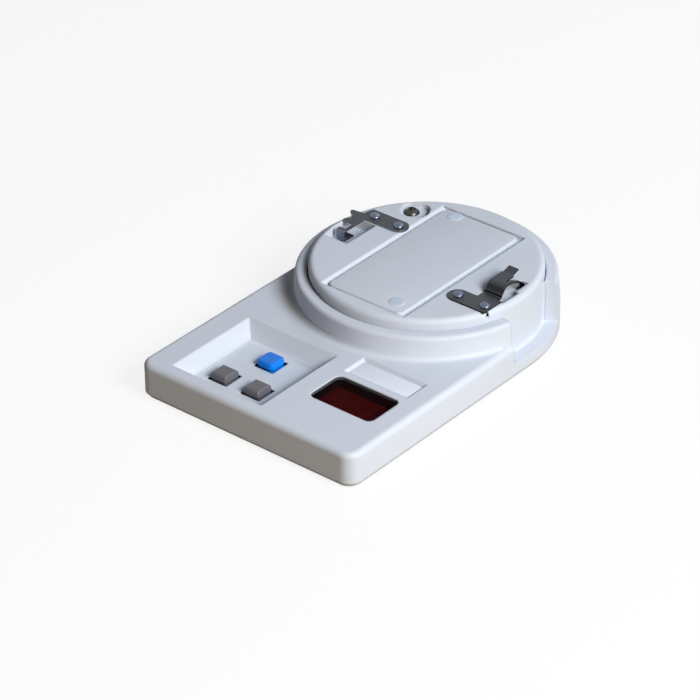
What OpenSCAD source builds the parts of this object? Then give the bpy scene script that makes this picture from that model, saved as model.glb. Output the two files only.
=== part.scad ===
// Hand-held tester that addresses and checks plug-in detector heads.
// Origin: centre of the footprint on the bench, +X right, +Y to the round end, +Z up.

/* [Casing] */
// Distance from the casing's front edge to the front of the turret
front_l = 60; // [54:0.5:72]
// Height of the deck above the casing's lower edge
deck_h = 13.9; // [13.6:0.1:16]
// Wall thickness of the top case
wall = 2.2; // [1.8:0.1:2.6]
// Plan radius of the two front corners
corner_r = 6; // [4:0.5:8]
// Fillet along the deck's outer edge
edge_r = 2.4; // [1:0.1:3]
// How far the bottom cover hangs below the top case
cover_drop = 1.4; // [1.2:0.1:2]
// How far the bottom cover's edge stands back from the casing's sides
cover_inset = 1; // [0.6:0.1:1.6]
// Height of the cover's locating tongue inside the top case
tongue_h = 3; // [2:0.5:5]

/* [Turret] */
// Width of the ledge round the head disc
ledge_w = 5.3; // [4.5:0.1:7]
// Height of the turret's ledge above the casing's lower edge
ledge_h = 24; // [22:0.5:26]
// Inward draft of the turret's wall over its height
turret_draft = 1; // [0.4:0.1:1.4]
// Rounding of the ledge's outer edge
ledge_r = 1.8; // [1:0.1:2.4]
// Rounding of the ledge's inner edge
ledge_in_r = 0.9; // [0.4:0.1:1.2]
// Concave fillet where the turret's wall meets the deck
cove_r = 2; // [1:0.25:3]
// Start of the finger notch, in degrees from +X
notch_from = -13; // [-20:1:-8]
// End of the finger notch, in degrees from +X
notch_to = 27.5; // [20:0.5:35]
// Height of the notch's floor above the casing's lower edge
notch_floor = 5; // [4:0.5:7]

/* [Head] */
// Radius of the head disc
head_r = 48.4; // [44:0.1:53]
// Height of the head disc's top above the casing's lower edge
head_h = 28.6; // [27:0.1:31]
// Rounding of the head disc's rim
rim_r = 2.3; // [1:0.1:2.6]
// Gap between the head disc and the turret's ledge
head_gap = 0.3; // [0.2:0.05:0.8]
// Thickness of the head disc's top
head_t = 4; // [3.6:0.1:5]
// Thickness of the head disc's skirt
skirt_t = 2.2; // [1.8:0.1:2.6]
// Height of the cover's ring that carries the head, above the casing's lower edge
seat_h = 5; // [4.5:0.5:7]

/* [Head lid] */
// Width of the lid plate
lid_w = 38.5; // [34:0.5:41]
// Distance from the lid's front corners to the disc's rim, along Y
lid_front = 3.6; // [2:0.1:6]
// Distance from the lid's back corners to the disc's rim, along Y
lid_back = 7; // [3:0.1:9]
// Thickness of the lid plate
lid_t = 2; // [1.6:0.1:2.4]
// Corner radius of the lid plate
lid_r = 3; // [1.5:0.1:4]
// Rounding of the lid plate's top edge
lid_edge_r = 0.8; // [0.3:0.1:1]
// Clearance round the lid at its seat
lid_gap = 0.3; // [0.2:0.05:0.5]
// Head diameter of the two push plugs
plug_d = 6.6; // [5:0.1:7]
// Shank diameter of the push plugs
plug_shank_d = 3; // [2.6:0.1:3.4]
// Distance of the back plug from the lid's back end
plug_in = 3.3; // [3:0.1:6]
// Distance of the plugs from the lid's middle line
plug_side = 11.9; // [8:0.1:14]

/* [Contacts] */
// Thickness of the spring steel
spring_t = 0.7; // [0.5:0.05:0.9]
// Width of the riveted tabs
tab_w = 8.7; // [8:0.1:9.4]
// Head diameter of the rivets
rivet_d = 4.6; // [4:0.1:5]
// Shank diameter of the rivets
rivet_shank_d = 2.6; // [2:0.1:3]
// Depth of the pocket under the right spring
pocket_depth = 2.6; // [2:0.1:3]
// Depth of the pocket under the left spring
deep_pocket = 4.6; // [4.3:0.1:4.8]
// Wall of the cup that holds the deep pocket
cup_t = 1.5; // [1.2:0.1:1.8]
// Width of the left spring's arm where it leaves the tab
left_arm_w = 2.4; // [2:0.1:3]
// Width of the right spring's bridge
right_arm_w = 8.4; // [7:0.1:9]
// Height of the right spring's bridge above the disc
bridge_h = 4.5; // [3.5:0.1:5]
// Head diameter of the head screw
head_screw_d = 7; // [6:0.1:7.4]
// Shank diameter of the head screw
head_screw_shank_d = 3.4; // [3:0.1:3.8]
// Distance of the head screw from the disc's rim
head_screw_in = 6.65; // [6:0.05:8]
// Depth of the head screw's pocket
screw_pocket_depth = 2.2; // [1.8:0.1:2.4]
// Distance of the outer left rivet from the disc's left side
left_rivet_in = 11.2; // [10:0.1:13]
// Distance of the outer right rivet from the disc's right side
right_rivet_in = 6.4; // [6:0.1:8]
// Distance of the inner left rivet from the lid
left_rivet_off = 5.35; // [5:0.05:7]
// Distance of the inner right rivet from the lid
right_rivet_off = 9.15; // [6:0.05:10]
// Distance of the disc's fixing screws from its rim
head_boss_in = 7.3; // [7:0.1:9]

/* [Keypad] */
// Length of the square key recess at the deck
recess_l = 46.5; // [45:0.5:48]
// Depth of the key recess below the deck
recess_depth = 6; // [4.5:0.1:6.2]
// Distance from the casing's middle to the middle of the strip between keys and display
strip_x = 9.05; // [6:0.05:10]
// Width of the strip between the key recess and the window
strip_w = 9.5; // [9:0.1:12]
// Distance of the recess from the casing's front
recess_front = 6.2; // [5.5:0.1:7.5]
// Side of the square holes that the keys pass
key_hole = 9.8; // [9.4:0.1:10.4]
// Clearance between a key and its hole, each side
key_gap = 0.35; // [0.3:0.05:0.5]
// Flat top of a key
key_top = 7.6; // [6.5:0.1:8.4]
// How far a key stands above the recess floor
key_rise = 3.1; // [2.5:0.1:3.6]
// Pitch of the two grey keys
key_pitch = 17.1; // [14:0.1:18]
// Distance of the grey keys from the recess's front edge at the deck
grey_row = 13.4; // [12.5:0.1:14.5]
// Distance from the grey row to the blue key's row
blue_row = 18.7; // [15:0.1:20]
// Travel of a key
key_travel = 0.5; // [0.3:0.05:0.6]

/* [Display] */
// Width of the window
window_w = 31; // [28:0.1:32]
// Length of the window
window_l = 18.8; // [17:0.1:20]
// Corner radius of the window
window_r = 2.7; // [2:0.1:3.5]
// Thickness of the window
window_t = 1.5; // [1.2:0.1:2]
// Clearance between the window and its opening
window_gap = 0.2; // [0.1:0.05:0.3]
// Wall of the black shroud round the digits
shroud_t = 0.8; // [0.6:0.05:1]
// Height of a digit module above the board
digit_h = 7.3; // [5:0.1:7.6]
// Width of a digit module
digit_w = 9.6; // [8.5:0.1:9.7]
// Length of a digit module
digit_l = 15; // [12:0.1:15.4]
// Number of digits
digit_count = 3; // [3:1:3]

/* [Label] */
// Width of the label recess at the deck
label_w = 32; // [28:0.5:33]
// Length of the label recess at the deck
label_l = 12.7; // [10:0.1:13]
// Depth of the label recess
label_depth = 1.3; // [0.8:0.1:1.5]
// Distance between the window and the label recess
label_space = 3.5; // [2.5:0.1:4]
// Distance from the label recess's inner corner to the turret's wall
label_back = 3.1; // [2.5:0.1:5]
// Thickness of the label plate
label_t = 0.4; // [0.3:0.1:0.6]

/* [Electronics] */
// Thickness of the circuit board
board_t = 1.6; // [1.2:0.1:1.6]
// Clearance between the bottom cover and the circuit board
board_gap = 0.9; // [0.8:0.1:1]
// Height of a switch body
switch_h = 3; // [2.6:0.1:3]
// Side of a switch body
switch_w = 12; // [11:0.5:12]
// Side of a switch plunger
plunger_w = 3.8; // [3:0.1:4.2]
// Diameter of the screw posts under the deck
post_d = 6; // [5:0.1:6.5]
// Diameter of the board screws
board_screw_d = 2; // [1.8:0.1:2.2]
// Distance of the board's left edge from the casing's side
board_left = 12; // [10:0.5:14]
// Distance of the board's right edge from the casing's side
board_right = 9; // [7:0.5:11]
// Distance of the board's front edge from the casing's front
board_front = 13; // [11:0.5:15]
// Distance of the board's back edge from the head's rim
board_back = 2.1; // [1.5:0.1:4]
// Distance of the screw posts from the board's edges
post_in = 3.2; // [3:0.1:3.6]
// Distance from the key recess to the posts behind it
post_off = 3.2; // [3:0.1:4]
// Length of the battery's can
battery_l = 46; // [44:0.5:47]
// Width of the battery
battery_w = 26.2; // [25:0.1:26.5]
// Height of the battery
battery_h = 17.5; // [16:0.1:17.6]
// Diameter of the battery's terminals
terminal_d = 5.6; // [5:0.1:6]
// Distance of the terminals from the battery's middle
terminal_off = 6.35; // [6:0.05:6.5]

/* [Fasteners and feet] */
// Distance of the case screws from the casing's sides
screw_side = 8.7; // [8:0.1:10]
// Distance of the front case screws from the casing's front
screw_front = 8; // [7.5:0.1:9]
// Distance of the back case screws in front of the head's centre
screw_back = 44; // [43:0.5:46]
// Shank diameter of the case screws
screw_d = 3; // [2.5:0.1:3.2]
// Head diameter of the case screws
screw_head_d = 6; // [5:0.1:6.2]
// Head height of the case screws
screw_head_h = 2; // [1.6:0.1:2.2]
// Diameter of the screw wells in the bottom cover
well_d = 6.8; // [6.6:0.1:7.2]
// Depth of the screw wells in the bottom cover
well_depth = 2.4; // [2.2:0.1:2.6]
// Wall of the screw wells and of their floors
well_t = 1.4; // [1.2:0.1:1.6]
// Diameter of the rubber feet
foot_d = 12; // [10:0.5:14]
// How far the feet stand below the bottom cover
foot_drop = 0.8; // [0.6:0.1:1.2]
// How deep the feet sit in the bottom cover
foot_seat = 0.7; // [0.5:0.1:0.8]
// Distance of the front feet from the casing's sides
foot_side = 11; // [10:0.5:13]
// Distance of the front feet from the casing's front
foot_front = 23; // [20:0.5:26]
// Distance of the back feet from the casing's sides
foot_back_side = 17; // [16:0.5:19]
// Distance of the back feet behind the head's centre
foot_back = 16; // [14:0.5:18]

/* [Battery door] */
// Width of the battery door
door_w = 38; // [37:0.5:42]
// Thickness of the battery door
door_t = 1.1; // [0.9:0.05:1.1]
// Half width of the bay's opening
bay_half = 15.5; // [15.3:0.1:16]
// Clearance round the battery door
door_gap = 0.3; // [0.25:0.05:0.4]
// Travel of the door until its hooks come free
door_travel = 8; // [7:0.5:8]
// Length of a hook along the door
hook_l = 6; // [4:0.5:6]
// Distance of the front hooks from the battery's front end
hook_first = 3.7; // [3:0.1:4]
// Distance between the front and the back hooks
hook_pitch = 34; // [30:1:34]
// Distance of the battery's front end in front of the head's centre
battery_front = 21.7; // [21:0.1:22]
// Room in front of the battery
bay_front = 4.3; // [4:0.1:5]
// Room behind the battery for its clip and leads
bay_back = 9.7; // [9:0.1:10]
// Thickness of the battery bay's walls
bay_wall_t = 1.5; // [1.2:0.1:1.6]
// Thickness of the fins beside the battery
fin_t = 1.2; // [1:0.1:1.4]

/* [Hidden] */

eps = 0.01;
big_fn = 120;
mid_fn = 48;
small_fn = 32;

body_w = 2 * (head_r + head_gap + ledge_w + turret_draft);
body_l = front_l + body_w;
case_z = foot_drop + cover_drop;        // lower edge of the top case
deck_z = case_z + deck_h;
ledge_z = case_z + ledge_h;
head_z = case_z + head_h;
seat_z = case_z + seat_h;               // where the head's skirt rests
half_w = body_w / 2;
front_y = -body_l / 2;
head_y = body_l / 2 - half_w;           // centre of the turret and the round end
ledge_out_r = half_w - turret_draft;    // turret's wall at the ledge
bore_r = head_r + head_gap;
ledge_t = wall;
deck_under_z = deck_z - wall;
notch_under_z = case_z + notch_floor - wall;
notch_margin = 2.6;                     // walls at the notch's two ends, in degrees

board_z = case_z + board_gap;
board_top_z = board_z + board_t;
switch_top_z = board_top_z + switch_h;
boss_z = foot_drop + well_depth + well_t;   // where wells and bosses meet

recess_x = strip_x - strip_w / 2 - recess_l / 2;
recess_y = front_y + recess_front + recess_l / 2;
recess_floor_z = deck_z - recess_depth;
grey_y = front_y + recess_front + grey_row;
key_mid_x = recess_x + 1;
KEY_BLUE = [key_mid_x - 0.4, grey_y + blue_row];
KEY_GREY_LEFT = [key_mid_x - key_pitch / 2, grey_y];
KEY_GREY_RIGHT = [key_mid_x + key_pitch / 2, grey_y];
KEYS = [KEY_BLUE, KEY_GREY_LEFT, KEY_GREY_RIGHT];
key_w = key_hole - 2 * key_gap;
key_low_z = switch_top_z + key_travel + 0.15;
key_top_z = recess_floor_z + key_rise;
socket_depth = 1.4;                     // plunger's engagement in a key
socket_gap = 0.05;

window_x = strip_x + strip_w / 2 + window_w / 2;
label_x = window_x;
label_y = head_y - sqrt(pow(half_w, 2) - pow(label_x - label_w / 2, 2)) - label_back - label_l / 2;
window_y = label_y - label_l / 2 - label_space - window_l / 2;
shroud_top_z = deck_z - window_t;

board_x0 = -half_w + board_left;
board_x1 = half_w - board_right;
board_y0 = front_y + board_front;
board_y1 = head_y - head_r - board_back;
posts_y = recess_y + recess_l / 2 + post_off;

CASE_SCREWS = [for (s = [-1, 1], y = [front_y + screw_front, head_y - screw_back]) [s * (half_w - screw_side), y]];
HEAD_SCREWS = [for (a = [41, 139, 221, 319]) [0, head_y] + (head_r - head_boss_in) * [cos(a), sin(a)]];
BOARD_POSTS = [[board_x0 + post_in, posts_y], [strip_x, posts_y], [board_x1 - post_in, posts_y],
               [board_x0 + post_in, board_y0 + post_in], [strip_x, board_y0 + post_in]];
FEET = [for (s = [-1, 1]) each [[s * (half_w - foot_side), front_y + foot_front],
                                [s * (half_w - foot_back_side), head_y + foot_back]]];

battery_y0 = head_y - battery_front;
battery_z = foot_drop + door_t + door_gap;
bay_y0 = battery_y0 - bay_front;
bay_y1 = battery_y0 + battery_l + bay_back;
bay_wall_z = case_z + 9.8;              // top of the bay's walls
rail_z = case_z + 1;                    // top of the ledge that the door's hooks run on
HOOKS_Y = [for (i = [0, 1]) battery_y0 + hook_first + i * hook_pitch];
FINS_Y = [for (i = [0, 1]) battery_y0 + 19.7 + 10 * i];
door_y0 = bay_y0 - 4;

lid_reach = sqrt(pow(head_r, 2) - pow(lid_w / 2, 2));
lid_l = 2 * lid_reach - lid_front - lid_back;
lid_shift = (lid_front - lid_back) / 2;
plug_y = lid_reach - lid_back - plug_in;
PLUGS = [[-plug_side, plug_y], [plug_side, -plug_y]];
LEFT_RIVETS = [[left_rivet_in - head_r, 12.4], [-lid_w / 2 - left_rivet_off, 12.4]];
RIGHT_RIVETS = [[lid_w / 2 + right_rivet_off, -15.4], [head_r - right_rivet_in, -15.4]];
HEAD_SCREW_AT = (head_r - head_screw_in) * [cos(137.1), sin(137.1)];
left_arm_x = 6.8 - head_r;              // outer end of the left tab
right_arm_x = head_r - 5.1 - right_arm_w;

shell_colour = [0.86, 0.87, 0.9];
cover_colour = [0.8, 0.81, 0.84];
steel_colour = [0.42, 0.42, 0.44];

// Rectangle with rounded corners, centred
module round_rect(w, l, r) {
    square([w - 2 * r, l], center = true);
    square([w, l - 2 * r], center = true);
    for (x = [-1, 1], y = [-1, 1])
        translate([x * (w / 2 - r), y * (l / 2 - r)]) circle(r, $fn = small_fn);
}

// Plan of the casing: square front with rounded corners, round back
module outline(inset) {
    r = corner_r - inset / 2;
    w = half_w - inset;
    y0 = front_y + inset;
    translate([-w, y0 + r]) square([2 * w, head_y - y0 - r]);
    translate([-w + r, y0]) square([2 * (w - r), head_y - y0]);
    for (s = [-1, 1]) translate([s * (w - r), y0 + r]) circle(r, $fn = mid_fn);
    translate([0, head_y]) circle(w, $fn = big_fn);
}

// Part of a ring about the head's centre between two angles
module ring_sector(r0, r1, from, to, z0, z1) {
    reach = 2 * r1;
    steps = [for (i = [0:4]) from + (to - from) * i / 4];
    translate([0, head_y, z0]) linear_extrude(z1 - z0) intersection() {
        difference() {
            circle(r1, $fn = big_fn);
            circle(r0, $fn = big_fn);
        }
        polygon(concat([[0, 0]], [for (a = steps) reach * [cos(a), sin(a)]]));
    }
}

// Hollow with four sides sloping at 45 degrees, open at its top
module sloped_pit(w, l, depth, above) {
    intersection() {
        rotate([90, 0, 0]) linear_extrude(l + 2 * above, center = true)
            polygon([[-w / 2 - above, above], [w / 2 + above, above],
                     [w / 2 - depth, -depth], [-w / 2 + depth, -depth]]);
        rotate([90, 0, 90]) linear_extrude(w + 2 * above, center = true)
            polygon([[-l / 2 - above, above], [l / 2 + above, above],
                     [l / 2 - depth, -depth], [-l / 2 + depth, -depth]]);
    }
}

// Profile from x0 to x1 and up to h, its two top corners rounded
module rounded_top(x0, x1, h, r) {
    translate([x0, 0]) square([x1 - x0, h - r]);
    translate([x0 + r, 0]) square([x1 - x0 - 2 * r, h]);
    for (x = [x0 + r, x1 - r]) translate([x, h - r]) circle(r, $fn = mid_fn);
}

// Casing without the turret, its deck edge filleted along the front and sides
module casing_block() {
    corner_y = front_y + corner_r;
    translate([0, head_y, case_z]) rotate([90, 0, 0]) linear_extrude(head_y - corner_y)
        rounded_top(-half_w, half_w, deck_h, edge_r);
    translate([-half_w + corner_r, 0, case_z]) rotate([90, 0, 90]) linear_extrude(body_w - 2 * corner_r)
        rounded_top(front_y, corner_y + corner_r, deck_h, edge_r);
    for (s = [-1, 1]) translate([s * (half_w - corner_r), corner_y, case_z])
        rotate_extrude($fn = mid_fn) intersection() {
            rounded_top(-corner_r, corner_r, deck_h, edge_r);
            square([corner_r, deck_h]);
        }
}

// Outside of the turret: drafted wall, rounded ledge
module turret_block() {
    translate([0, head_y, 0]) rotate_extrude($fn = big_fn) {
        polygon([[0, case_z], [half_w, case_z], [half_w, deck_z - edge_r],
                 [ledge_out_r, ledge_z - ledge_r], [ledge_out_r - ledge_r, ledge_z], [0, ledge_z]]);
        translate([ledge_out_r - ledge_r, ledge_z - ledge_r]) circle(ledge_r, $fn = mid_fn);
    }
}

// Concave fillet between the turret's wall and the deck
module turret_cove() {
    foot_r = half_w - turret_draft * edge_r / (ledge_h - deck_h + edge_r);
    intersection() {
        translate([0, head_y, 0]) rotate_extrude($fn = big_fn) difference() {
            translate([foot_r - 1, deck_z - 0.5]) square([cove_r + 1, cove_r + 0.5]);
            translate([foot_r + cove_r, deck_z + cove_r]) circle(cove_r, $fn = mid_fn);
        }
        translate([0, 0, case_z]) linear_extrude(ledge_h) outline(edge_r);
    }
}

// Inside of the casing and the turret
module casing_inside() {
    translate([0, 0, case_z - 1]) linear_extrude(deck_h - wall + 1) outline(wall);
    translate([0, head_y, 0]) rotate_extrude($fn = big_fn)
        polygon(concat([[0, case_z - 1], [ledge_out_r - wall, case_z - 1], [ledge_out_r - wall, ledge_z - ledge_t],
                        [bore_r, ledge_z - ledge_t]],
                       [for (i = [0:6]) let (a = 15 * i)
                           [bore_r + ledge_in_r * (1 - cos(a)), ledge_z - ledge_in_r * (1 - sin(a))]],
                       [[bore_r + ledge_in_r, ledge_z + 1], [0, ledge_z + 1]]));
}

module top_case() color(shell_colour) {
    difference() {
        union() {
            difference() {
                union() {
                    casing_block();
                    turret_block();
                    turret_cove();
                }
                casing_inside();
            }
            // underside of the key recess
            intersection() {
                translate([recess_x, recess_y, deck_z - wall])
                    sloped_pit(recess_l + 0.8 * wall, recess_l + 0.8 * wall, recess_depth, wall / 2);
                translate([0, 0, case_z]) linear_extrude(deck_h) outline(wall / 2);
            }
            // underside of the label recess
            translate([label_x, label_y, deck_z - label_depth - wall / 2])
                linear_extrude(label_depth) square([label_w, label_l], center = true);
            // walls and floor of the finger notch
            ring_sector(bore_r + 0.4, ledge_out_r - 0.5, notch_from - notch_margin, notch_to + notch_margin,
                        notch_under_z, ledge_z - ledge_t / 2);
            for (p = CASE_SCREWS) translate([p.x, p.y, boss_z])
                cylinder(d = well_d, h = deck_under_z - boss_z + eps, $fn = small_fn);
            for (p = BOARD_POSTS) translate([p.x, p.y, board_top_z])
                cylinder(d = post_d, h = deck_under_z - board_top_z + eps, $fn = small_fn);
        }
        translate([recess_x, recess_y, deck_z]) sloped_pit(recess_l, recess_l, recess_depth, 1);
        for (k = KEYS) translate([k.x, k.y, recess_floor_z - wall - 1])
            linear_extrude(wall + recess_depth) square(key_hole, center = true);
        translate([window_x, window_y, deck_under_z - 2]) linear_extrude(wall + 3)
            round_rect(window_w + 2 * window_gap, window_l + 2 * window_gap, window_r + window_gap);
        translate([label_x, label_y, deck_z]) sloped_pit(label_w, label_l, label_depth, 1);
        ring_sector(bore_r - 1, half_w + 2, notch_from, notch_to, case_z + notch_floor, ledge_z + 1);
        for (p = CASE_SCREWS) translate([p.x, p.y, boss_z - eps])
            cylinder(d = screw_d + 0.1, h = 7, $fn = small_fn);
        for (p = BOARD_POSTS) translate([p.x, p.y, board_top_z - eps])
            cylinder(d = board_screw_d + 0.1, h = 5, $fn = small_fn);
    }
}

// Place of the battery door with its clearance, through the cover's lower layer
module door_slot() {
    translate([-door_w / 2 - door_gap, door_y0 - door_gap, foot_drop - 1])
        cube([door_w + 2 * door_gap, body_l, cover_drop + 1 + eps]);
}

module bottom_cover() color(cover_colour) {
    inner = wall + 0.3;
    bay_wall_h = bay_wall_z - rail_z;
    difference() {
        union() {
            translate([0, 0, foot_drop]) linear_extrude(cover_drop) outline(cover_inset);
            translate([0, 0, case_z]) linear_extrude(tongue_h) difference() {
                outline(inner);
                outline(inner + 1.5);
            }
            // ledge round the battery bay
            translate([0, 0, case_z - eps]) linear_extrude(rail_z - case_z + eps) intersection() {
                outline(inner + 0.5);
                translate([-door_w / 2 - 4, door_y0 - 4]) square([door_w + 8, body_l]);
            }
            // ring that carries the head
            translate([0, head_y, case_z - eps]) difference() {
                cylinder(r = head_r, h = seat_h + eps, $fn = big_fn);
                translate([0, 0, -1]) cylinder(r = head_r - skirt_t - 0.5, h = seat_h + 2, $fn = big_fn);
            }
            for (p = concat(CASE_SCREWS, HEAD_SCREWS)) translate([p.x, p.y, foot_drop])
                cylinder(d = well_d + 2 * well_t, h = well_depth + well_t, $fn = small_fn);
            // battery bay: side walls with fins, and an end wall at each end
            for (s = [-1, 1]) {
                fin_in = battery_w / 2 + 0.3;
                translate([s * (bay_half + 3) - bay_wall_t / 2, bay_y0, rail_z - eps])
                    cube([bay_wall_t, bay_y1 - bay_y0, bay_wall_h]);
                for (y = FINS_Y) translate([s > 0 ? fin_in : -bay_half - 3, y, rail_z])
                    cube([bay_half + 3 - fin_in, fin_t, bay_wall_h]);
            }
            for (y = [battery_y0 - bay_wall_t - 0.3, bay_y1 - bay_wall_t]) translate([-bay_half - 3, y, rail_z])
                cube([2 * bay_half + 6, bay_wall_t, bay_wall_h]);
        }
        // room under the finger notch
        ring_sector(bore_r - 1, half_w, notch_from - notch_margin - 1, notch_to + notch_margin + 1,
                    notch_under_z - 0.3, notch_under_z + tongue_h);
        door_slot();
        translate([-bay_half, bay_y0, foot_drop]) cube([2 * bay_half, bay_y1 - bay_wall_t - bay_y0, rail_z - foot_drop]);
        // notches where the hooks drop out
        for (y = HOOKS_Y) translate([-bay_half - 2, y - hook_l / 2 + door_travel - 0.4, foot_drop])
            cube([2 * bay_half + 4, hook_l + 0.8, rail_z - foot_drop]);
        for (p = concat(CASE_SCREWS, HEAD_SCREWS)) translate([p.x, p.y, 0]) {
            cylinder(d = well_d, h = foot_drop + well_depth, $fn = small_fn);
            cylinder(d = screw_d + 0.1, h = boss_z + 1, $fn = small_fn);
        }
        for (p = FEET) translate([p.x, p.y, 0]) cylinder(d = foot_d + 0.1, h = foot_drop + foot_seat, $fn = mid_fn);
        // cable way to the head
        translate([-5, head_y - head_r - 1, rail_z + 0.5]) cube([10, 5, seat_h]);
    }
}

module battery_door() color(cover_colour) {
    groove = 0.4;
    hook_t = 1.2;
    hook_w = 2.9;
    difference() {
        union() {
            translate([0, 0, foot_drop]) linear_extrude(door_t) intersection() {
                outline(cover_inset);
                translate([-door_w / 2, door_y0]) square([door_w, body_l]);
            }
            for (y = HOOKS_Y, s = [-1, 1]) translate([0, y - hook_l / 2, foot_drop + door_t - eps]) {
                x0 = bay_half - 1.5;
                post_h = rail_z + 0.3 - foot_drop - door_t + eps;
                translate([s > 0 ? x0 : -x0 - hook_t, 0, 0]) cube([hook_t, hook_l, post_h]);
                translate([s > 0 ? x0 : -x0 - hook_w, 0, post_h]) cube([hook_w, hook_l, 0.9]);
            }
        }
        // grip grooves
        for (i = [0:4]) translate([-8, body_l / 2 - 9 - 2.2 * i, foot_drop - eps]) cube([16, 1.1, groove + eps]);
    }
}

// Plans of the two pockets under the springs, about the head's centre
module left_pocket(grow = 0) {
    x0 = left_arm_x - grow;
    x1 = left_arm_x + 8.6 + grow;
    y0 = -11.4 - grow;
    y1 = 7.6 + grow;
    polygon([[x1, y0], [x1, y1], [x0 - 3.8, y1], [x0 - 4.4, 4], [x0 - 4.4, -4], [x0 - 3, y0]]);
}
module right_pocket() {
    x0 = right_arm_x;
    polygon([[x0 - 1, -8.8], [x0 + 10.4, -8.8], [x0 + 10.9, 1.4], [x0 + 9.3, 1.8], [x0 + 9.1, 10.2],
             [x0 + 5.9, 10.2], [x0 + 5.9, 7.2], [x0 - 1, 7.2]]);
}

module head_disc() color(shell_colour) {
    seat_l = lid_l + 2 * lid_gap + 1;
    difference() {
        union() {
            translate([0, head_y, 0]) rotate_extrude($fn = big_fn) difference() {
                union() {
                    translate([0, seat_z]) square([head_r, head_z - rim_r - seat_z]);
                    translate([0, seat_z]) square([head_r - rim_r, head_z - seat_z]);
                    translate([head_r - rim_r, head_z - rim_r]) circle(rim_r, $fn = mid_fn);
                }
                translate([-1, seat_z - 1]) square([head_r - skirt_t + 1, head_z - head_t - seat_z + 1]);
            }
            for (p = HEAD_SCREWS) translate([p.x, p.y, boss_z])
                cylinder(d = well_d, h = head_z - head_t - boss_z + eps, $fn = small_fn);
            translate([HEAD_SCREW_AT.x, head_y + HEAD_SCREW_AT.y, head_z - head_t - 5])
                cylinder(d = 8, h = 6, $fn = small_fn);
            // cup of the deep pocket
            translate([0, head_y, head_z - deep_pocket - cup_t]) linear_extrude(deep_pocket + cup_t - head_t / 2)
                intersection() {
                    left_pocket(cup_t);
                    circle(head_r - skirt_t / 2, $fn = big_fn);
                }
        }
        // seat of the lid, its long sides sloped
        translate([0, head_y + lid_shift, head_z]) rotate([90, 0, 0])
            linear_extrude(seat_l, center = true)
                polygon([[-lid_w / 2 - lid_gap - lid_t - 1, 1], [lid_w / 2 + lid_gap + lid_t + 1, 1],
                         [lid_w / 2 + lid_gap, -lid_t], [-lid_w / 2 - lid_gap, -lid_t]]);
        for (p = PLUGS) translate([p.x, head_y + p.y, head_z - head_t - 1])
            cylinder(d = plug_shank_d + 0.1, h = head_t + 2, $fn = small_fn);
        // pocket of the head screw
        translate([HEAD_SCREW_AT.x, head_y + HEAD_SCREW_AT.y, head_z - screw_pocket_depth]) rotate([0, 0, 27])
            translate([1.8, -1.4, 0]) linear_extrude(screw_pocket_depth + 1) round_rect(12.4, 11.4, 4.6);
        translate([HEAD_SCREW_AT.x, head_y + HEAD_SCREW_AT.y, head_z - head_t - 4])
            cylinder(d = head_screw_shank_d + 0.1, h = head_t + 4, $fn = small_fn);
        // pockets under the springs
        translate([0, head_y, head_z - deep_pocket]) linear_extrude(deep_pocket + 1) left_pocket();
        translate([0, head_y, head_z - pocket_depth]) linear_extrude(pocket_depth + 1) right_pocket();
        for (p = concat(LEFT_RIVETS, RIGHT_RIVETS)) translate([p.x, head_y + p.y, head_z - head_t - 2.2])
            cylinder(d = rivet_shank_d + 0.1, h = head_t + 3, $fn = small_fn);
        // sighting hole beside the right contact
        translate([head_r - 3.2, head_y - 17.6, head_z - 3]) cylinder(d = 1.5, h = 4, $fn = small_fn);
        for (p = HEAD_SCREWS) translate([p.x, p.y, boss_z - 1]) cylinder(d = screw_d + 0.1, h = 9, $fn = small_fn);
        translate([-5, head_y - head_r - 1, seat_z - 1]) cube([10, 5, 5]);
    }
}

module head_lid() color(shell_colour) {
    translate([0, head_y + lid_shift, head_z - lid_t]) difference() {
        union() {
            rotate([90, 0, 0]) linear_extrude(lid_l - 2 * lid_r, center = true)
                rounded_top(-lid_w / 2, lid_w / 2, lid_t, lid_edge_r);
            rotate([90, 0, 90]) linear_extrude(lid_w - 2 * lid_r, center = true)
                rounded_top(-lid_l / 2, lid_l / 2, lid_t, lid_edge_r);
            for (x = [-1, 1], y = [-1, 1]) translate([x * (lid_w / 2 - lid_r), y * (lid_l / 2 - lid_r), 0])
                rotate_extrude($fn = mid_fn) intersection() {
                    rounded_top(-lid_r, lid_r, lid_t, lid_edge_r);
                    square([lid_r, lid_t]);
                }
        }
        for (p = PLUGS) translate([p.x, p.y - lid_shift, -1]) cylinder(d = plug_shank_d + 0.1, h = lid_t + 2, $fn = small_fn);
    }
}

// Low round head on a flat underside, its top a spherical cap
module dome_head(d, h) {
    cap_r = (d * d / 4 + h * h) / (2 * h);
    intersection() {
        cylinder(d = d, h = h, $fn = mid_fn);
        translate([0, 0, h - cap_r]) sphere(cap_r, $fn = 96);
    }
}

module lid_plugs() color([0.8, 0.88, 0.97]) {
    for (p = PLUGS) translate([p.x, head_y + p.y, head_z]) {
        dome_head(plug_d, 0.7);
        translate([0, 0, -head_t - 0.6]) cylinder(d = plug_shank_d, h = head_t + 0.6 + eps, $fn = small_fn);
    }
}

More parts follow.
